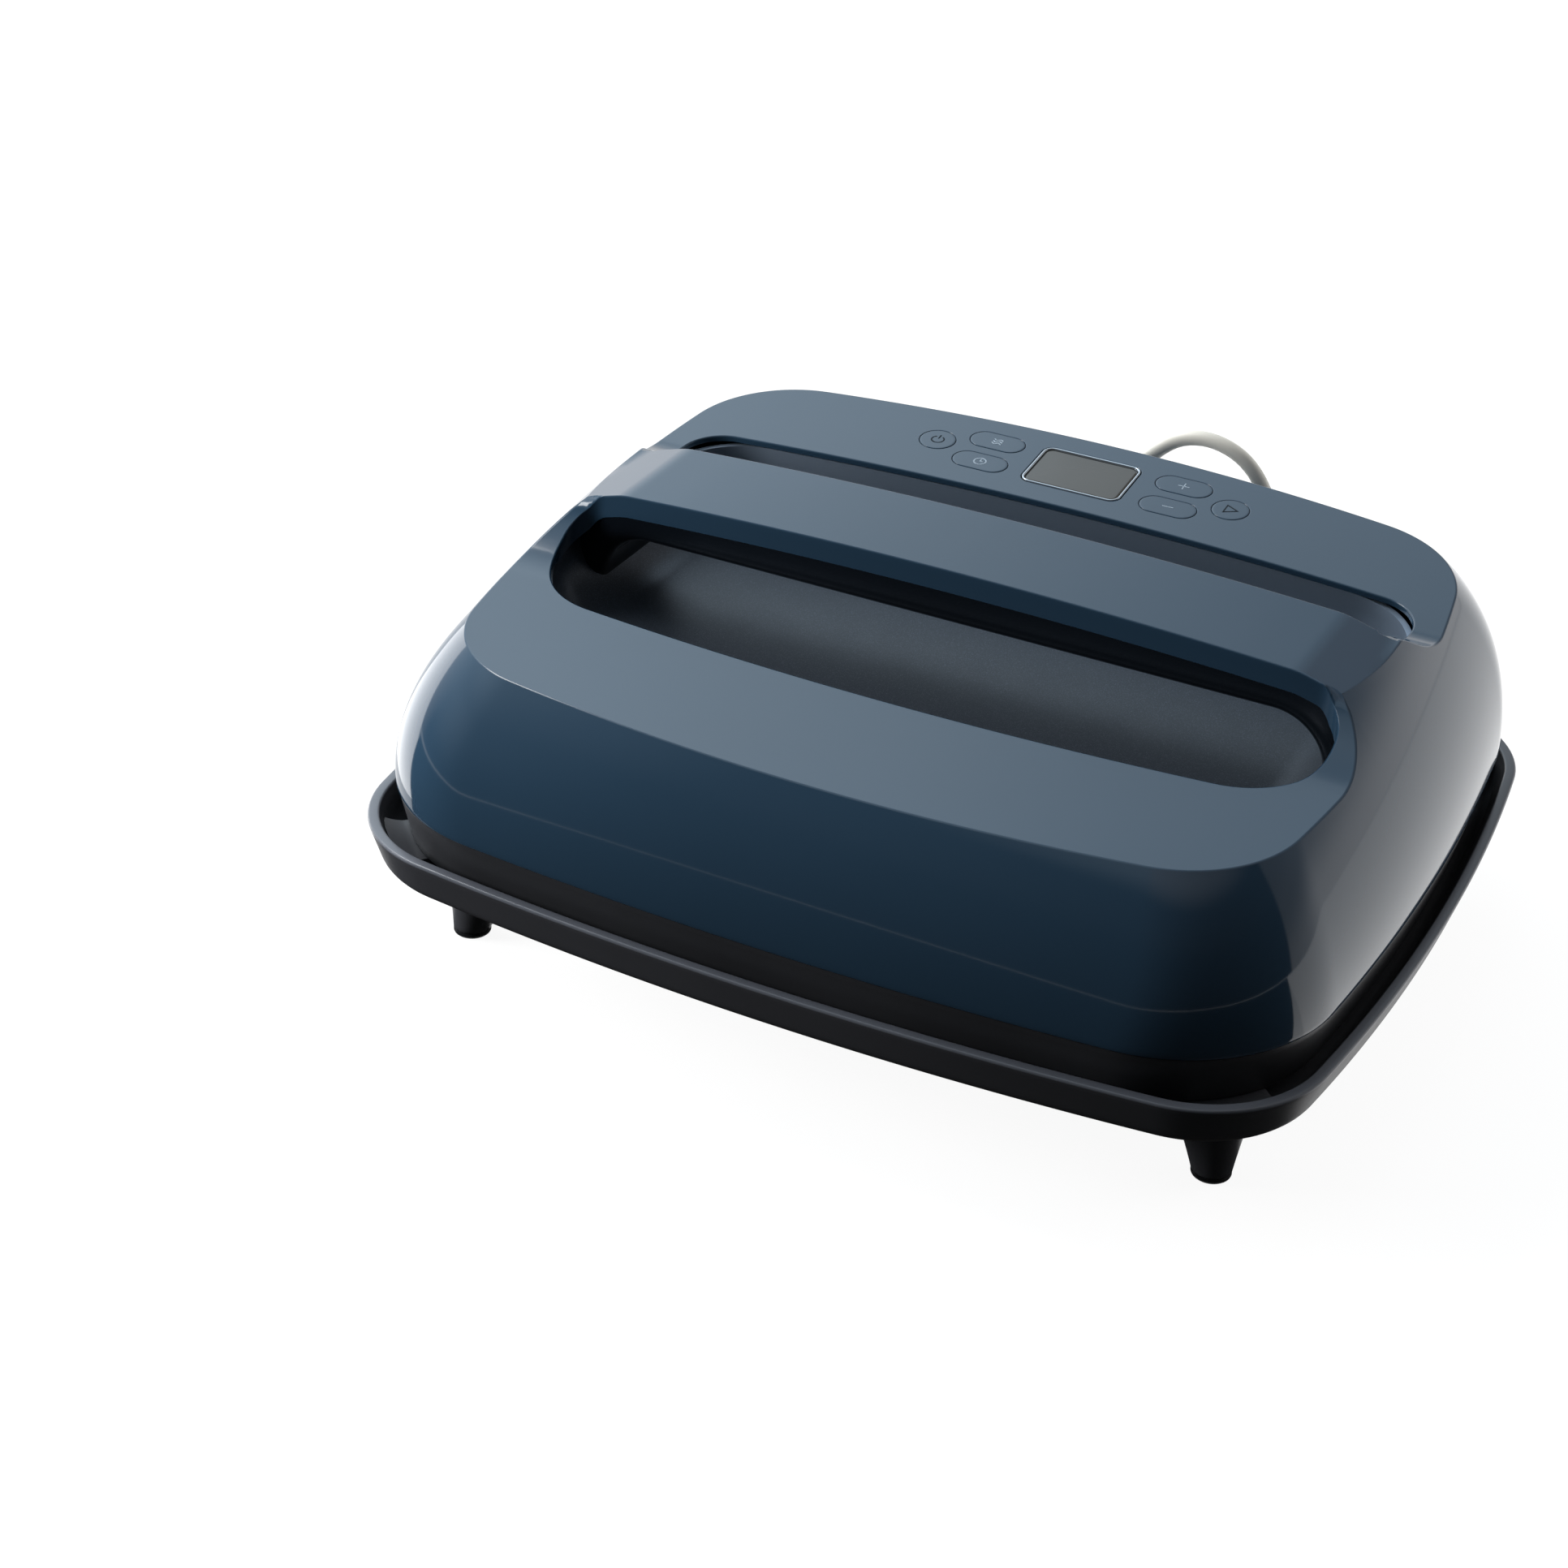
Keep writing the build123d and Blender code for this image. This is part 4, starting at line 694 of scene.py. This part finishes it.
def grip_depth(x, z, nx, nz):
    """How far the grip's side reaches out from the arch before it meets the cover or the well."""
    for step in np.arange(0.5, 40, 0.25):
        px, pz = abs(x + nx * step), z + nz * step
        roof = np.interp(px, HANDLE_LINE[:, 0], HANDLE_LINE[:, 1]) - SKIN_DEPTH
        if px > OPENING_HALF or pz > roof:
            return step
    return 40.0


def grip():
    """Trough swept along the arch, as points and faces."""
    start = np.arcsin((WELL_FLOOR - 1.5 - (ARCH_Z - ARCH_CORNER)) / ARCH_CORNER)
    stations = []
    for angle in np.linspace(start, pi / 2, 22):
        n = (cos(angle), sin(angle))
        stations.append((ARCH_X - ARCH_CORNER + ARCH_CORNER * n[0],
                         ARCH_Z - ARCH_CORNER + ARCH_CORNER * n[1], *n))
    stations += [(x, ARCH_Z, 0.0, 1.0) for x in np.linspace(108, 0, 22)]
    stations += [(-x, z, -nx, nz) for x, z, nx, nz in stations[-2::-1]]
    turns = [(1 - sin(k / 8 * pi / 2), 1 - cos(k / 8 * pi / 2)) for k in range(9)]
    sections = []
    for x, z, nx, nz in stations:
        depth = grip_depth(x, z, nx, nz)
        line = [(GRIP_FRONT + 3, depth), (GRIP_FRONT, depth)]
        line += [(GRIP_FRONT, GRIP_ROUND + (depth - GRIP_ROUND) * s) for s in (0.66, 0.33)]
        line += [(GRIP_FRONT + GRIP_ROUND * up, GRIP_ROUND * out) for out, up in turns]
        line += [(GRIP_FRONT + GRIP_ROUND + s * (GRIP_REAR - GRIP_FRONT - 2 * GRIP_ROUND), 0)
                 for s in (0.25, 0.5, 0.75)]
        line += [(GRIP_REAR - GRIP_ROUND * out, GRIP_ROUND * up) for out, up in turns]
        line += [(GRIP_REAR, GRIP_ROUND + (depth - GRIP_ROUND) * s) for s in (0.33, 0.66, 1.0)]
        line.append((GRIP_REAR - 3, depth))
        sections.append([(x + nx * d, y, z + nz * d) for y, d in line])
    faces = ring_faces(len(sections), len(sections[0]), closed=False)
    return np.array(sections).reshape(-1, 3), faces


make_piece("handle_underside", *grip(), M["black"], "press", ("handle_grip",), "black", sharp=50)


# Black band round the plate
rows = [(3.4, 62.5), (3.0, 64.0), (0.7, 64.0), (0.45, 63.85)]
rows += [(0.42 + 3.6 * s, 63.6 - 16.6 * s) for s in np.linspace(0, 1, 8)]
rows += [(4.25, 46.35), (4.8, 46.05), (5.6, 46.0)]
plate_ring = outline(153.5, 128.0, 0.01, 0.01, 53.0)
rings = [head_ring(*row) for row in rows] + [level_ring(plate_ring, z) for z in (46.0, 49.0)]
make_piece("band_ring", *loft(rings, flip=True), M["band"], "press", ("base_band",), "black",
           sharp=40)

# Tray with a rounded rim and flared sides
TRAY_TOP, TRAY_FLOOR, TRAY_BOTTOM = 52.2, 38.0, 35.0
TRAY_X, TRAY_Y, TRAY_CORNER, TRAY_BULGE = HALF_LENGTH + 6.9, HALF_WIDTH + 4.2, 45.5, 11.4
TRAY_FLARE = 5.0 / (TRAY_TOP - TRAY_BOTTOM)
TRAY_ROUND = 7.0


def tray_ring(inset, z):
    """Ring of the tray, drawn in by an inset; past the corners' radius it is a smaller copy."""
    if inset >= TRAY_CORNER:
        return level_ring(outline(TRAY_X, TRAY_Y, TRAY_BULGE, TRAY_BULGE, TRAY_CORNER) * 0.6, z)
    return level_ring(outline(TRAY_X - inset, TRAY_Y - inset, TRAY_BULGE, TRAY_BULGE,
                              TRAY_CORNER - inset), z)


def tray_rows():
    """Section of the tray as insets and heights, from below over the rim to the inside."""
    rows = [(60.0, TRAY_BOTTOM), (30.0, TRAY_BOTTOM), (13.0, TRAY_BOTTOM)]
    for a in [k / 8 * radians(73.8) for k in range(1, 9)]:
        rows.append((10.25 - TRAY_ROUND * sin(a), TRAY_BOTTOM + TRAY_ROUND * (1 - cos(a))))
    rows += [(TRAY_FLARE * (TRAY_TOP - z), z) for z in np.linspace(41.5, TRAY_TOP - 1.0, 6)]
    for a in [k / 5 * pi / 2 for k in range(1, 6)]:
        rows.append((1.0 - cos(a) * 0.75, TRAY_TOP - 1.0 + sin(a)))
    for a in [k / 5 * pi / 2 for k in range(6)]:
        rows.append((3.2 + 0.8 * sin(a), TRAY_TOP - 0.8 + 0.8 * cos(a)))
    rows += [(4.0 + TRAY_FLARE * (TRAY_TOP - z), z)
             for z in np.linspace(TRAY_TOP - 2.2, TRAY_FLOOR + 4, 5)]
    for a in [k / 6 * pi / 2 for k in range(1, 7)]:
        rows.append((8.0 + 4 * (1 - cos(a)), TRAY_FLOOR + 4 * (1 - sin(a))))
    return rows + [(30.0, TRAY_FLOOR), (46.0, TRAY_FLOOR)]


tray = make_piece("tray_shell", *loft([tray_ring(*row) for row in tray_rows()], True, True), M["tray"],
                  "stand", ("base_tray",), "charcoal", sharp=35)
# Painted highlight: the rim's lighter colour stands in for the sky light caught by its upward face
tray.data.materials.append(M["rim"])
for polygon in tray.data.polygons:
    if polygon.center.z > (TRAY_TOP - 1.0) * MM:
        polygon.material_index = 1


# Corner rests: a seat for the band that sweeps up to the tray's wall
REST_X, REST_Y, REST_WIDTH, REST_SEAT = 138.2, 113.2, 26.0, 9.9
REST_TOP, REST_RISE, REST_REACH = 45.85, 4.6, 20.0


def corner_rest(sx, sy):
    """Rest in the corner on these sides, as points and faces."""
    dx, dy = sx / sqrt(2), sy / sqrt(2)
    wall = tray_ring(5.2, 0)[:, :2]

    def place(out, across):
        return np.column_stack([sx * REST_X + dx * out - dy * across,
                                sy * REST_Y + dy * out + dx * across])

    sections = []
    for v in np.linspace(-REST_WIDTH / 2, REST_WIDTH / 2, 27):
        reach = np.arange(6, 30, 0.25)
        end = reach[inside(place(reach, v), wall)].max()
        slope = REST_SEAT + (end - REST_SEAT) * np.linspace(0.06, 1, 14)
        u = np.r_[np.linspace(0, REST_SEAT, 8), slope]
        rise = np.clip((u - REST_SEAT) / (REST_REACH - REST_SEAT), 0, 1) ** 1.6
        top = REST_TOP + REST_RISE * rise - 0.5 * max(abs(v) - 12.4, 0)
        sections.append(np.column_stack([place(np.r_[0, u, end], v),
                                         np.r_[TRAY_FLOOR, top, TRAY_FLOOR]]))
    return loft(sections, cap_first=True, cap_last=True, flip=sx * sy > 0)


# Feet, each with a pad: heights, with the radius and the place inwards at each
FOOT_HEIGHTS, FOOT_RADII, FOOT_INWARDS = (2.0, 15.0, 35.0), (6.5, 10.0, 17.0), (0.0, 2.0, 6.0)
FOOT_X, FOOT_Y = 136, 98
PAD_ROWS = ((5.2, 0.0), (5.9, 0.08), (6.35, 0.5), (6.5, 0.9), (6.5, 1.7), (6.2, 2.0), (5.0, 2.0))


def between(z, values):
    """Value at this height on the smooth curve through the values at the foot's heights."""
    total = 0.0
    for i, term in enumerate(values):
        for j, other in enumerate(FOOT_HEIGHTS):
            if j != i:
                term *= (z - other) / (FOOT_HEIGHTS[i] - other)
        total += term
    return total


def circle(cx, cy, radius, z, count=56):
    a = np.linspace(0, 2 * pi, count, endpoint=False)
    return np.column_stack([cx + radius * np.cos(a), cy + radius * np.sin(a), np.full(count, z)])


for place, (sx, sy) in {"front_left": (-1, -1), "front_right": (1, -1),
                        "rear_left": (-1, 1), "rear_right": (1, 1)}.items():
    make_piece("rest_" + place, *corner_rest(sx, sy), M["tray"], "stand", ("corner_rest_" + place,),
               "charcoal", sharp=40)
    rings = [circle(sx * FOOT_X, sy * FOOT_Y, radius, z) for radius, z in ((5.6, 2.0), (6.2, 2.15))]
    for z in np.linspace(2.6, 35, 20):
        inward = between(z, FOOT_INWARDS)
        rings.append(circle(sx * (FOOT_X - inward), sy * (FOOT_Y - inward), between(z, FOOT_RADII), z))
    make_piece("foot_" + place, *loft(rings, True, True), M["tray"], "stand", ("base_foot_" + place,),
               "charcoal", sharp=60)
    rings = [circle(sx * FOOT_X, sy * FOOT_Y, radius, z) for radius, z in PAD_ROWS]
    make_piece("pad_" + place, *loft(rings, True, True), M["rubber"], "stand", ("foot_pad_" + place,),
               "rubber_black", sharp=60)

# Button caps, a little proud of the deck
CAP_ROWS = ((-0.22, -2.6), (-0.22, -0.16), (-0.17, -0.05), (-0.07, 0.02), (0.08, 0.05), (0.68, 0.06),
            (1.98, 0.07), (3.78, 0.08))
for name, (x, y, half_x, half_y) in BUTTONS.items():
    rings = [on_deck(round_loop(half_x - inset, half_y - inset, half_y - inset) + (x, y), height)
             for inset, height in CAP_ROWS]
    make_piece(name.replace("button", "cap"), *loft(rings, True, True), M["cover"], name, (name,),
               "cover_blue", sharp=60)


# Icons: raised strokes on the caps
STROKE_SECTION = ((1, 0.0), (1, 0.12), (0.8, 0.15), (-0.8, 0.15), (-1, 0.12), (-1, 0.0))


def stroke(line, width, centre, closed=False):
    """Thin raised band along a line of the deck, with round ends."""
    line = np.array(line, float)
    if closed:
        line = np.concatenate([line[-1:], line, line[:2]])
    ahead = unit(np.diff(line, axis=0))
    turn = np.concatenate([ahead[:1], unit(ahead[:-1] + ahead[1:]), ahead[-1:]])
    across = np.column_stack([-turn[:, 1], turn[:, 0]])
    square = np.column_stack([-ahead[1:, 1], ahead[1:, 0]])
    across[1:-1] *= (1 / np.clip((across[1:-1] * square).sum(1), 0.4, 1))[:, None]
    half = np.full(len(line), width / 2)
    if closed:
        line, across, half = line[1:-1], across[1:-1], half[1:-1]
    else:
        bends = [radians(a) for a in (80, 50, 25)]
        starts = [line[0] - ahead[0] * width / 2 * sin(b) for b in bends]
        ends = [line[-1] + ahead[-1] * width / 2 * sin(b) for b in bends[::-1]]
        round_half = [width / 2 * cos(b) for b in bends]
        line = np.concatenate([starts, line, ends])
        across = np.concatenate([across[:1]] * 3 + [across] + [across[-1:]] * 3)
        half = np.concatenate([round_half, half, round_half[::-1]])
    heights = np.array([[height] for _, height in STROKE_SECTION])
    shares = np.array([[share] for share, _ in STROKE_SECTION])
    sections = [on_deck(place + centre + side * reach * shares, heights)
                for place, side, reach in zip(line, across, half)]
    return loft(sections, cap_first=not closed, cap_last=not closed)


wave = [(t, 0.4 * sin(t * 2.3)) for t in np.linspace(-1.75, 1.75, 19)]
bar = ([(-1.9, 0), (1.9, 0)], False)
ICONS = {
    "power": ("icon_dark", [(arc_points((0, 0), 2.3, radians(125), radians(415), 28), False),
                            ([(0, 0.8), (0, 3.0)], False)]),
    "start": ("icon_dark", [([(-1.9, -2.5), (2.6, 0), (-1.9, 2.5)], True)]),
    "temperature": ("icon_light", [([(x, y + lift) for x, y in wave], False)
                                   for lift in (-1.3, 0, 1.3)]),
    "time": ("icon_light", [(arc_points((0, 0), 2.2, 0, radians(345), 27), True),
                            ([(0, 1.2), (0, 0), (0.9, 0)], False)]),
    "plus": ("icon_light", [bar, ([(0, -1.9), (0, 1.9)], False)]),
    "minus": ("icon_light", [bar]),
}
for name, (ink, strokes) in ICONS.items():
    centre = BUTTONS[name + "_button"][:2]
    icon = join(*[stroke(line, 0.5, centre, closed) for line, closed in strokes])
    make_piece(name + "_icon", *icon, M[ink], name + "_button", slot="cover_blue", sharp=50)


# Display: a thin bright frame and a dark lens with a chamfered edge
FRAME_ROWS = ((1.9, -2.4), (0.0, -2.4), (0.0, 0.05), (0.1, 0.2), (0.3, 0.28), (0.55, 0.26),
              (0.75, 0.12), (0.85, -0.25), (0.9, -1.2))
LENS_ROWS = ((0.95, -2.0), (0.95, -0.75), (1.05, -0.55), (1.6, -0.2), (1.75, -0.16), (2.0, -0.15))


def window_rings(rows):
    """Rings round the display window, from insets and heights."""
    return [on_deck(round_loop(WINDOW_X - BUTTON_GAP - inset, WINDOW_Y - BUTTON_GAP - inset,
                               WINDOW_CORNER - BUTTON_GAP - inset, 8, 8), height)
            for inset, height in rows]


make_piece("display_frame", *loft(window_rings(FRAME_ROWS)), M["bezel"], "press", ("display_bezel",),
           "bezel", sharp=70)
make_piece("display_lens", *loft(window_rings(LENS_ROWS), True, True), M["lens"], "press",
           ("display_window",), "clear", sharp=25)

# Strain relief: collar at the wall, round elbow and a ribbed sleeve
EXIT_RISE = 30
WALL_LEAN = np.arcsin(EXIT_RISE / REAR_RADIUS)
WALL_NORMAL = np.array([0, cos(WALL_LEAN), sin(WALL_LEAN)])
WALL_POINT = np.array([-10, HALF_WIDTH - lean(REAR_RADIUS, EXIT_RISE), SKIRT_LINE + EXIT_RISE])
ELBOW = WALL_POINT + 4.5 * WALL_NORMAL
SLEEVE_TIP = np.array([1.41, 147.88, 111.39])


def turned(start, axis, rows, count=40):
    """Rings of a turned shape: rows of place along the axis and radius."""
    axis = unit(np.array(axis, float))
    first = unit(np.cross(axis, (1.0, 0.3, 0)))
    second = np.cross(axis, first)
    a = np.linspace(0, 2 * pi, count, endpoint=False)[:, None]
    spokes = np.cos(a) * first + np.sin(a) * second
    return loft([start + axis * s + spokes * r for s, r in rows], True, True)


collar = turned(WALL_POINT, WALL_NORMAL, [(0.15, 6.9), (0.3, 7.4), (1.2, 7.4), (1.8, 7.0), (2.0, 6.4),
                                          (2.1, 5.5), (4.5, 5.5)])
ball = turned(ELBOW, WALL_NORMAL, [(5.5 * sin(a), 5.5 * cos(a)) for a in
                                   np.linspace(radians(-20), radians(88), 14)])
sleeve_rows = [(0, 5.4), (2.2, 5.4)]
for s in [2.4 + k * 3.1 for k in range(5)]:
    r = 5.4 - 0.085 * s
    sleeve_rows += [(s, r - 1.0), (s + 0.9, r - 1.05), (s + 1.1, r - 0.1), (s + 1.35, r),
                    (s + 2.75, r - 0.15), (s + 3.0, r - 0.3)]
sleeve_rows += [(18.3, 3.85), (19.6, 3.7), (20.0, 3.3)]
sleeve = turned(ELBOW, SLEEVE_TIP - ELBOW, sleeve_rows)
relief = make_piece("ribbed_relief", *join(collar, ball, sleeve), M["cord"], "press",
                    ("strain_relief",), "cord_grey", sharp=45)

# Cord: one smooth line through the part's route, then its coil and its tail
CORD_ROUTE = [
    (1.41, 147.88, 111.39), (10.5, 150.5, 124.2), (25.6, 151.0, 130.0), (41.3, 151.5, 125.8),
    (51.5, 152.5, 113.2), (56.2, 154.0, 95.8), (57.4, 157.0, 71.8), (56.0, 161.0, 49.5),
    (44.0, 164.5, 31.0), (19.0, 166.0, 22.7),
]
CORD_TAIL = [(9.74, 232.92, 3.8), (14.27, 229.63, 3.8), (24.79, 221.99, 3.8), (38.54, 212.0, 11.0),
             (49.06, 204.36, 11.0)]
CORD_RADIUS = 2.8
COIL_X, COIL_Y, COIL_RADIUS, COIL_SWING = -12.0, 203.0, 31.0, 5.985
COIL_TOP, COIL_STEP, LAYER_TURNS, COIL_TURNS = 22.7, 6.3, 1.9, 7.6


def coil_point(turn):
    """Place in the coil, which winds out and in again, a layer lower each time."""
    share = turn / LAYER_TURNS % 2
    radius = COIL_RADIUS + COIL_SWING * (1 - 2 * min(share, 2 - share))
    height = COIL_TOP
    for layer in (1.9, 3.8, 5.7):
        t = min(max((turn - layer) * 2 + 0.5, 0), 1)
        height -= COIL_STEP * t * t * (3 - 2 * t)
    angle = -pi / 2 - 2 * pi * turn
    return (COIL_X + radius * cos(angle), COIL_Y + radius * sin(angle), height)


cord_route = CORD_ROUTE + [coil_point(k / 16) for k in range(round(COIL_TURNS * 16))] + CORD_TAIL
curve = bpy.data.curves.new("cord", "CURVE")
curve.dimensions = "3D"
spline = curve.splines.new("NURBS")
spline.points.add(len(cord_route) - 1)
for control, place in zip(spline.points, cord_route):
    control.co = (*[v * MM for v in place], 1)
spline.order_u = 3
spline.use_endpoint_u = True
spline.resolution_u = 6
curve.bevel_depth = CORD_RADIUS * MM
curve.bevel_resolution = 6
curve.use_fill_caps = True
curve.materials.append(M["cord"])
cord = add_object("mains_cord", curve)
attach(cord, "press")
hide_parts("cord_run", "cord_coil", "cord_tail")

# Finishes of the nodes that stay
CARRIED = {
    "brass": "plug_pins", "circuit": "power_board control_board", "copper": "transformer",
    "cord": "plug", "display": "lcd_module", "element": "heating_element",
    "fibre": "insulation_board", "keypad": "switch_pad", "liner": "tray_liner",
    "part": "thermal_cutoff temperature_sensor relay capacitors cord_clamp handle_stiffener buzzer",
    "plate": "heat_plate",
    "steel": "foot_screws heat_shield plate_screws shield_screws housing_screws board_screws",
    "tie": "coil_tie",
}
for key, names in CARRIED.items():
    for name in names.split():
        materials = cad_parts[name].data.materials
        materials.clear()
        materials.append(M[key])


def mix_surface(tree, share, first, second, output="Material Output"):
    """Show the first shader where the share is 0 and the second where it is 1."""
    mixed = add_node(tree, "MixShader", {0: share, 1: first, 2: second})
    tree.links.new(mixed.outputs[0], tree.nodes[output].inputs["Surface"])


def flat_piece(name, corners, made):
    """Flat mesh through corners with this material."""
    mesh = bpy.data.meshes.new(name)
    mesh.from_pydata(corners, [], [tuple(range(len(corners)))])
    mesh.materials.append(made)
    return add_object(name, mesh)


# Floor: it takes the object's shadow, and is pale for rays that see it directly or in a surface
FLOOR_HALF, FLOOR_GLOW, GLOW_SHARE = 6, 1.12, 0.82
made, tree, shader = new_material("pale_floor", Base_Color=(0.80, 0.80, 0.80, 1), Roughness=0.9,
                                  Specular_IOR_Level=0.0)
rays = add_node(tree, "LightPath").outputs
seen = rays["Is Camera Ray"]
for kind in ("Is Glossy Ray", "Is Transmission Ray"):
    seen = calculate(tree, "MAXIMUM", seen, rays[kind])
seen = calculate(tree, "MULTIPLY", seen, GLOW_SHARE)
glow = add_node(tree, "Emission", {"Strength": FLOOR_GLOW}).outputs[0]
mix_surface(tree, seen, shader.outputs[0], glow)
flat_piece("floor", [(x * FLOOR_HALF, y * FLOOR_HALF, 0)
                              for x, y in ((-1, -1), (1, -1), (1, 1), (-1, 1))], made)

# Studio round the object: (azimuth, brightness) near the horizon, higher up and well above it.
# The surfaces mirror it, so its light and dark fields are those in the photographed housing.
LOW = ((-180, 0.03), (-142, 0.03), (-120, 0.05), (-96, 0.1), (-84, 0.7), (-60, 1.9), (-38, 1.75),
       (-30, 1.35), (-20, 1.2), (0, 1.2), (30, 1.35), (45, 1.1), (62, 0.72), (74, 0.62), (79, 0.6),
       (80, 0.03), (180, 0.03))
MIDDLE = ((-180, 0.03), (-145, 0.06), (-130, 0.2), (-95, 0.7), (-60, 1.45), (-34, 1.42), (-31, 1.25),
          (-22, 0.96), (-15, 0.66), (-8, 0.43), (3, 0.32), (30, 0.35), (60, 0.36), (79, 0.34),
          (80, 0.03), (180, 0.03))
HIGH = ((-180, 0.05), (-145, 0.1), (-130, 0.3), (-95, 1.2), (-60, 2.2), (-34, 2.15), (-29, 1.8),
        (-25, 1.6), (-20, 1.2), (-15, 1.05), (-8, 0.75), (3, 0.42), (30, 0.35), (79, 0.3),
        (80, 0.04), (180, 0.05))
TOP = ((-180, 0.5), (-150, 0.8), (-120, 1.0), (-60, 0.9), (-20, 0.7), (10, 0.5), (60, 0.4),
       (120, 0.35), (180, 0.5))
NEUTRAL, COOL, COOL_UP_TO = (1.0, 0.99, 0.99), (0.84, 0.98, 1.08), 2
STRENGTH = 2.5

world = bpy.data.worlds.new("studio")
bpy.context.scene.world = world
world.use_nodes = True
tree = world.node_tree


def azimuth_ramp(stops, cool=True):
    """Sky colour round the object, cooler up to an azimuth."""
    ramp = add_node(tree, "ValToRGB", {"Fac": turn})
    elements = ramp.color_ramp.elements
    elements.remove(elements[-1])
    for k, (angle, level) in enumerate(stops):
        position = (angle + 180) / 360
        stop = elements[0] if k == 0 else elements.new(position)
        stop.position = position
        tint = COOL if cool and angle < COOL_UP_TO else NEUTRAL
        stop.color = (*[level * share / STRENGTH for share in tint], 1)
    return ramp.outputs["Color"]


place = add_node(tree, "TexCoord").outputs["Generated"]
axes = add_node(tree, "SeparateXYZ", {0: place}).outputs
turn = calculate(tree, "DIVIDE", calculate(tree, "ARCTAN2", axes["X"], axes["Y"]), 2 * pi)
turn = calculate(tree, "ADD", turn, 0.5)
sky = azimuth_ramp(LOW, cool=False)
for low, high, stops in ((0.06, 0.40, MIDDLE), (0.43, 0.60, HIGH), (0.74, 0.88, TOP)):
    sky = mix_colours(tree, soft_step(tree, axes["Z"], low, high), sky, azimuth_ramp(stops))
light = tree.nodes["Background"]
tree.links.new(sky, light.inputs["Color"])
light.inputs["Strength"].default_value = STRENGTH
mix_surface(tree, add_node(tree, "LightPath").outputs["Is Camera Ray"], light.outputs[0],
            add_node(tree, "Background").outputs[0], "World Output")


CARD_LIFT = 0.001


def card(name, corners, level, diffuse=False):
    """Flat one-sided card that shows in reflections but not in the picture.

    Corners without a height lie just over the floor.
    """
    made, tree, _ = new_material(name)
    mix_surface(tree, add_node(tree, "NewGeometry").outputs["Backfacing"],
                add_node(tree, "Emission", {"Strength": level}).outputs[0],
                add_node(tree, "BsdfTransparent").outputs[0])
    piece = flat_piece(name, [(*corner, CARD_LIFT)[:3] for corner in corners], made)
    piece.visible_camera = piece.visible_shadow = piece.visible_transmission = False
    piece.visible_diffuse = diffuse


card("black_card", [(-0.10, -0.09), (-0.27, -0.125), (-2.4, -0.17), (-2.4, -4), (4, -4), (4, 0.35),
                    (0.10, -0.09)], 0.02, diffuse=True)
card("right_floor", [(0.19, -0.06), (4, 0.30), (4, 4), (0.1, 4), (0.1, 0.25), (0.19, 0.12)], 1.3)
card("left_floor", [(-0.27, -0.125), (-0.27, 0.0), (-0.6, 0.22), (-1.3, 0.75), (-1.3, -0.135)], 3.2)
card("left_panel", [(-1.3, -0.13, 0), (-1.3, 0.75, 0), (-1.3, 0.75, 0.42), (-1.3, 0.24, 0.42),
                    (-1.3, 0.03, 0.2), (-1.3, -0.08, 0.08)], 3.2)
card("edge_light", [(-1.06, -0.28, 0.98), (-0.93, 0.40, 0.98), (-0.73, 0.27, 1.19),
                    (-0.83, -0.24, 1.19)], 11)


def lamp(name, place, aim, size, power):
    """Soft lamp that isn't seen in reflections, which show the studio and its cards."""
    data = bpy.data.lights.new(name, "AREA")
    data.shape = "RECTANGLE"
    data.size, data.size_y = size
    data.energy = power
    made = add_object(name, data)
    made.location = place
    made.rotation_mode = "QUATERNION"
    made.rotation_quaternion = (Vector(place) - Vector(aim)).to_track_quat("Z", "Y")
    made.visible_camera = made.visible_glossy = made.visible_transmission = False


lamp("left_softbox", (-1.3, 0.3, 0.25), (0, 0, 0.08), (1.0, 0.45), 9)
lamp("front_left_fill", (-0.75, -0.42, 0.3), (-0.05, -0.1, 0.09), (0.3, 0.3), 8)
lamp("upper_left", (-0.9, 0.25, 1.15), (0, 0, 0.1), (0.7, 0.5), 11)
lamp("rear_right", (0.9, 1.0, 0.7), (0, 0.05, 0.08), (0.8, 0.6), 6)

bpy.context.scene.view_settings.view_transform = "Standard"
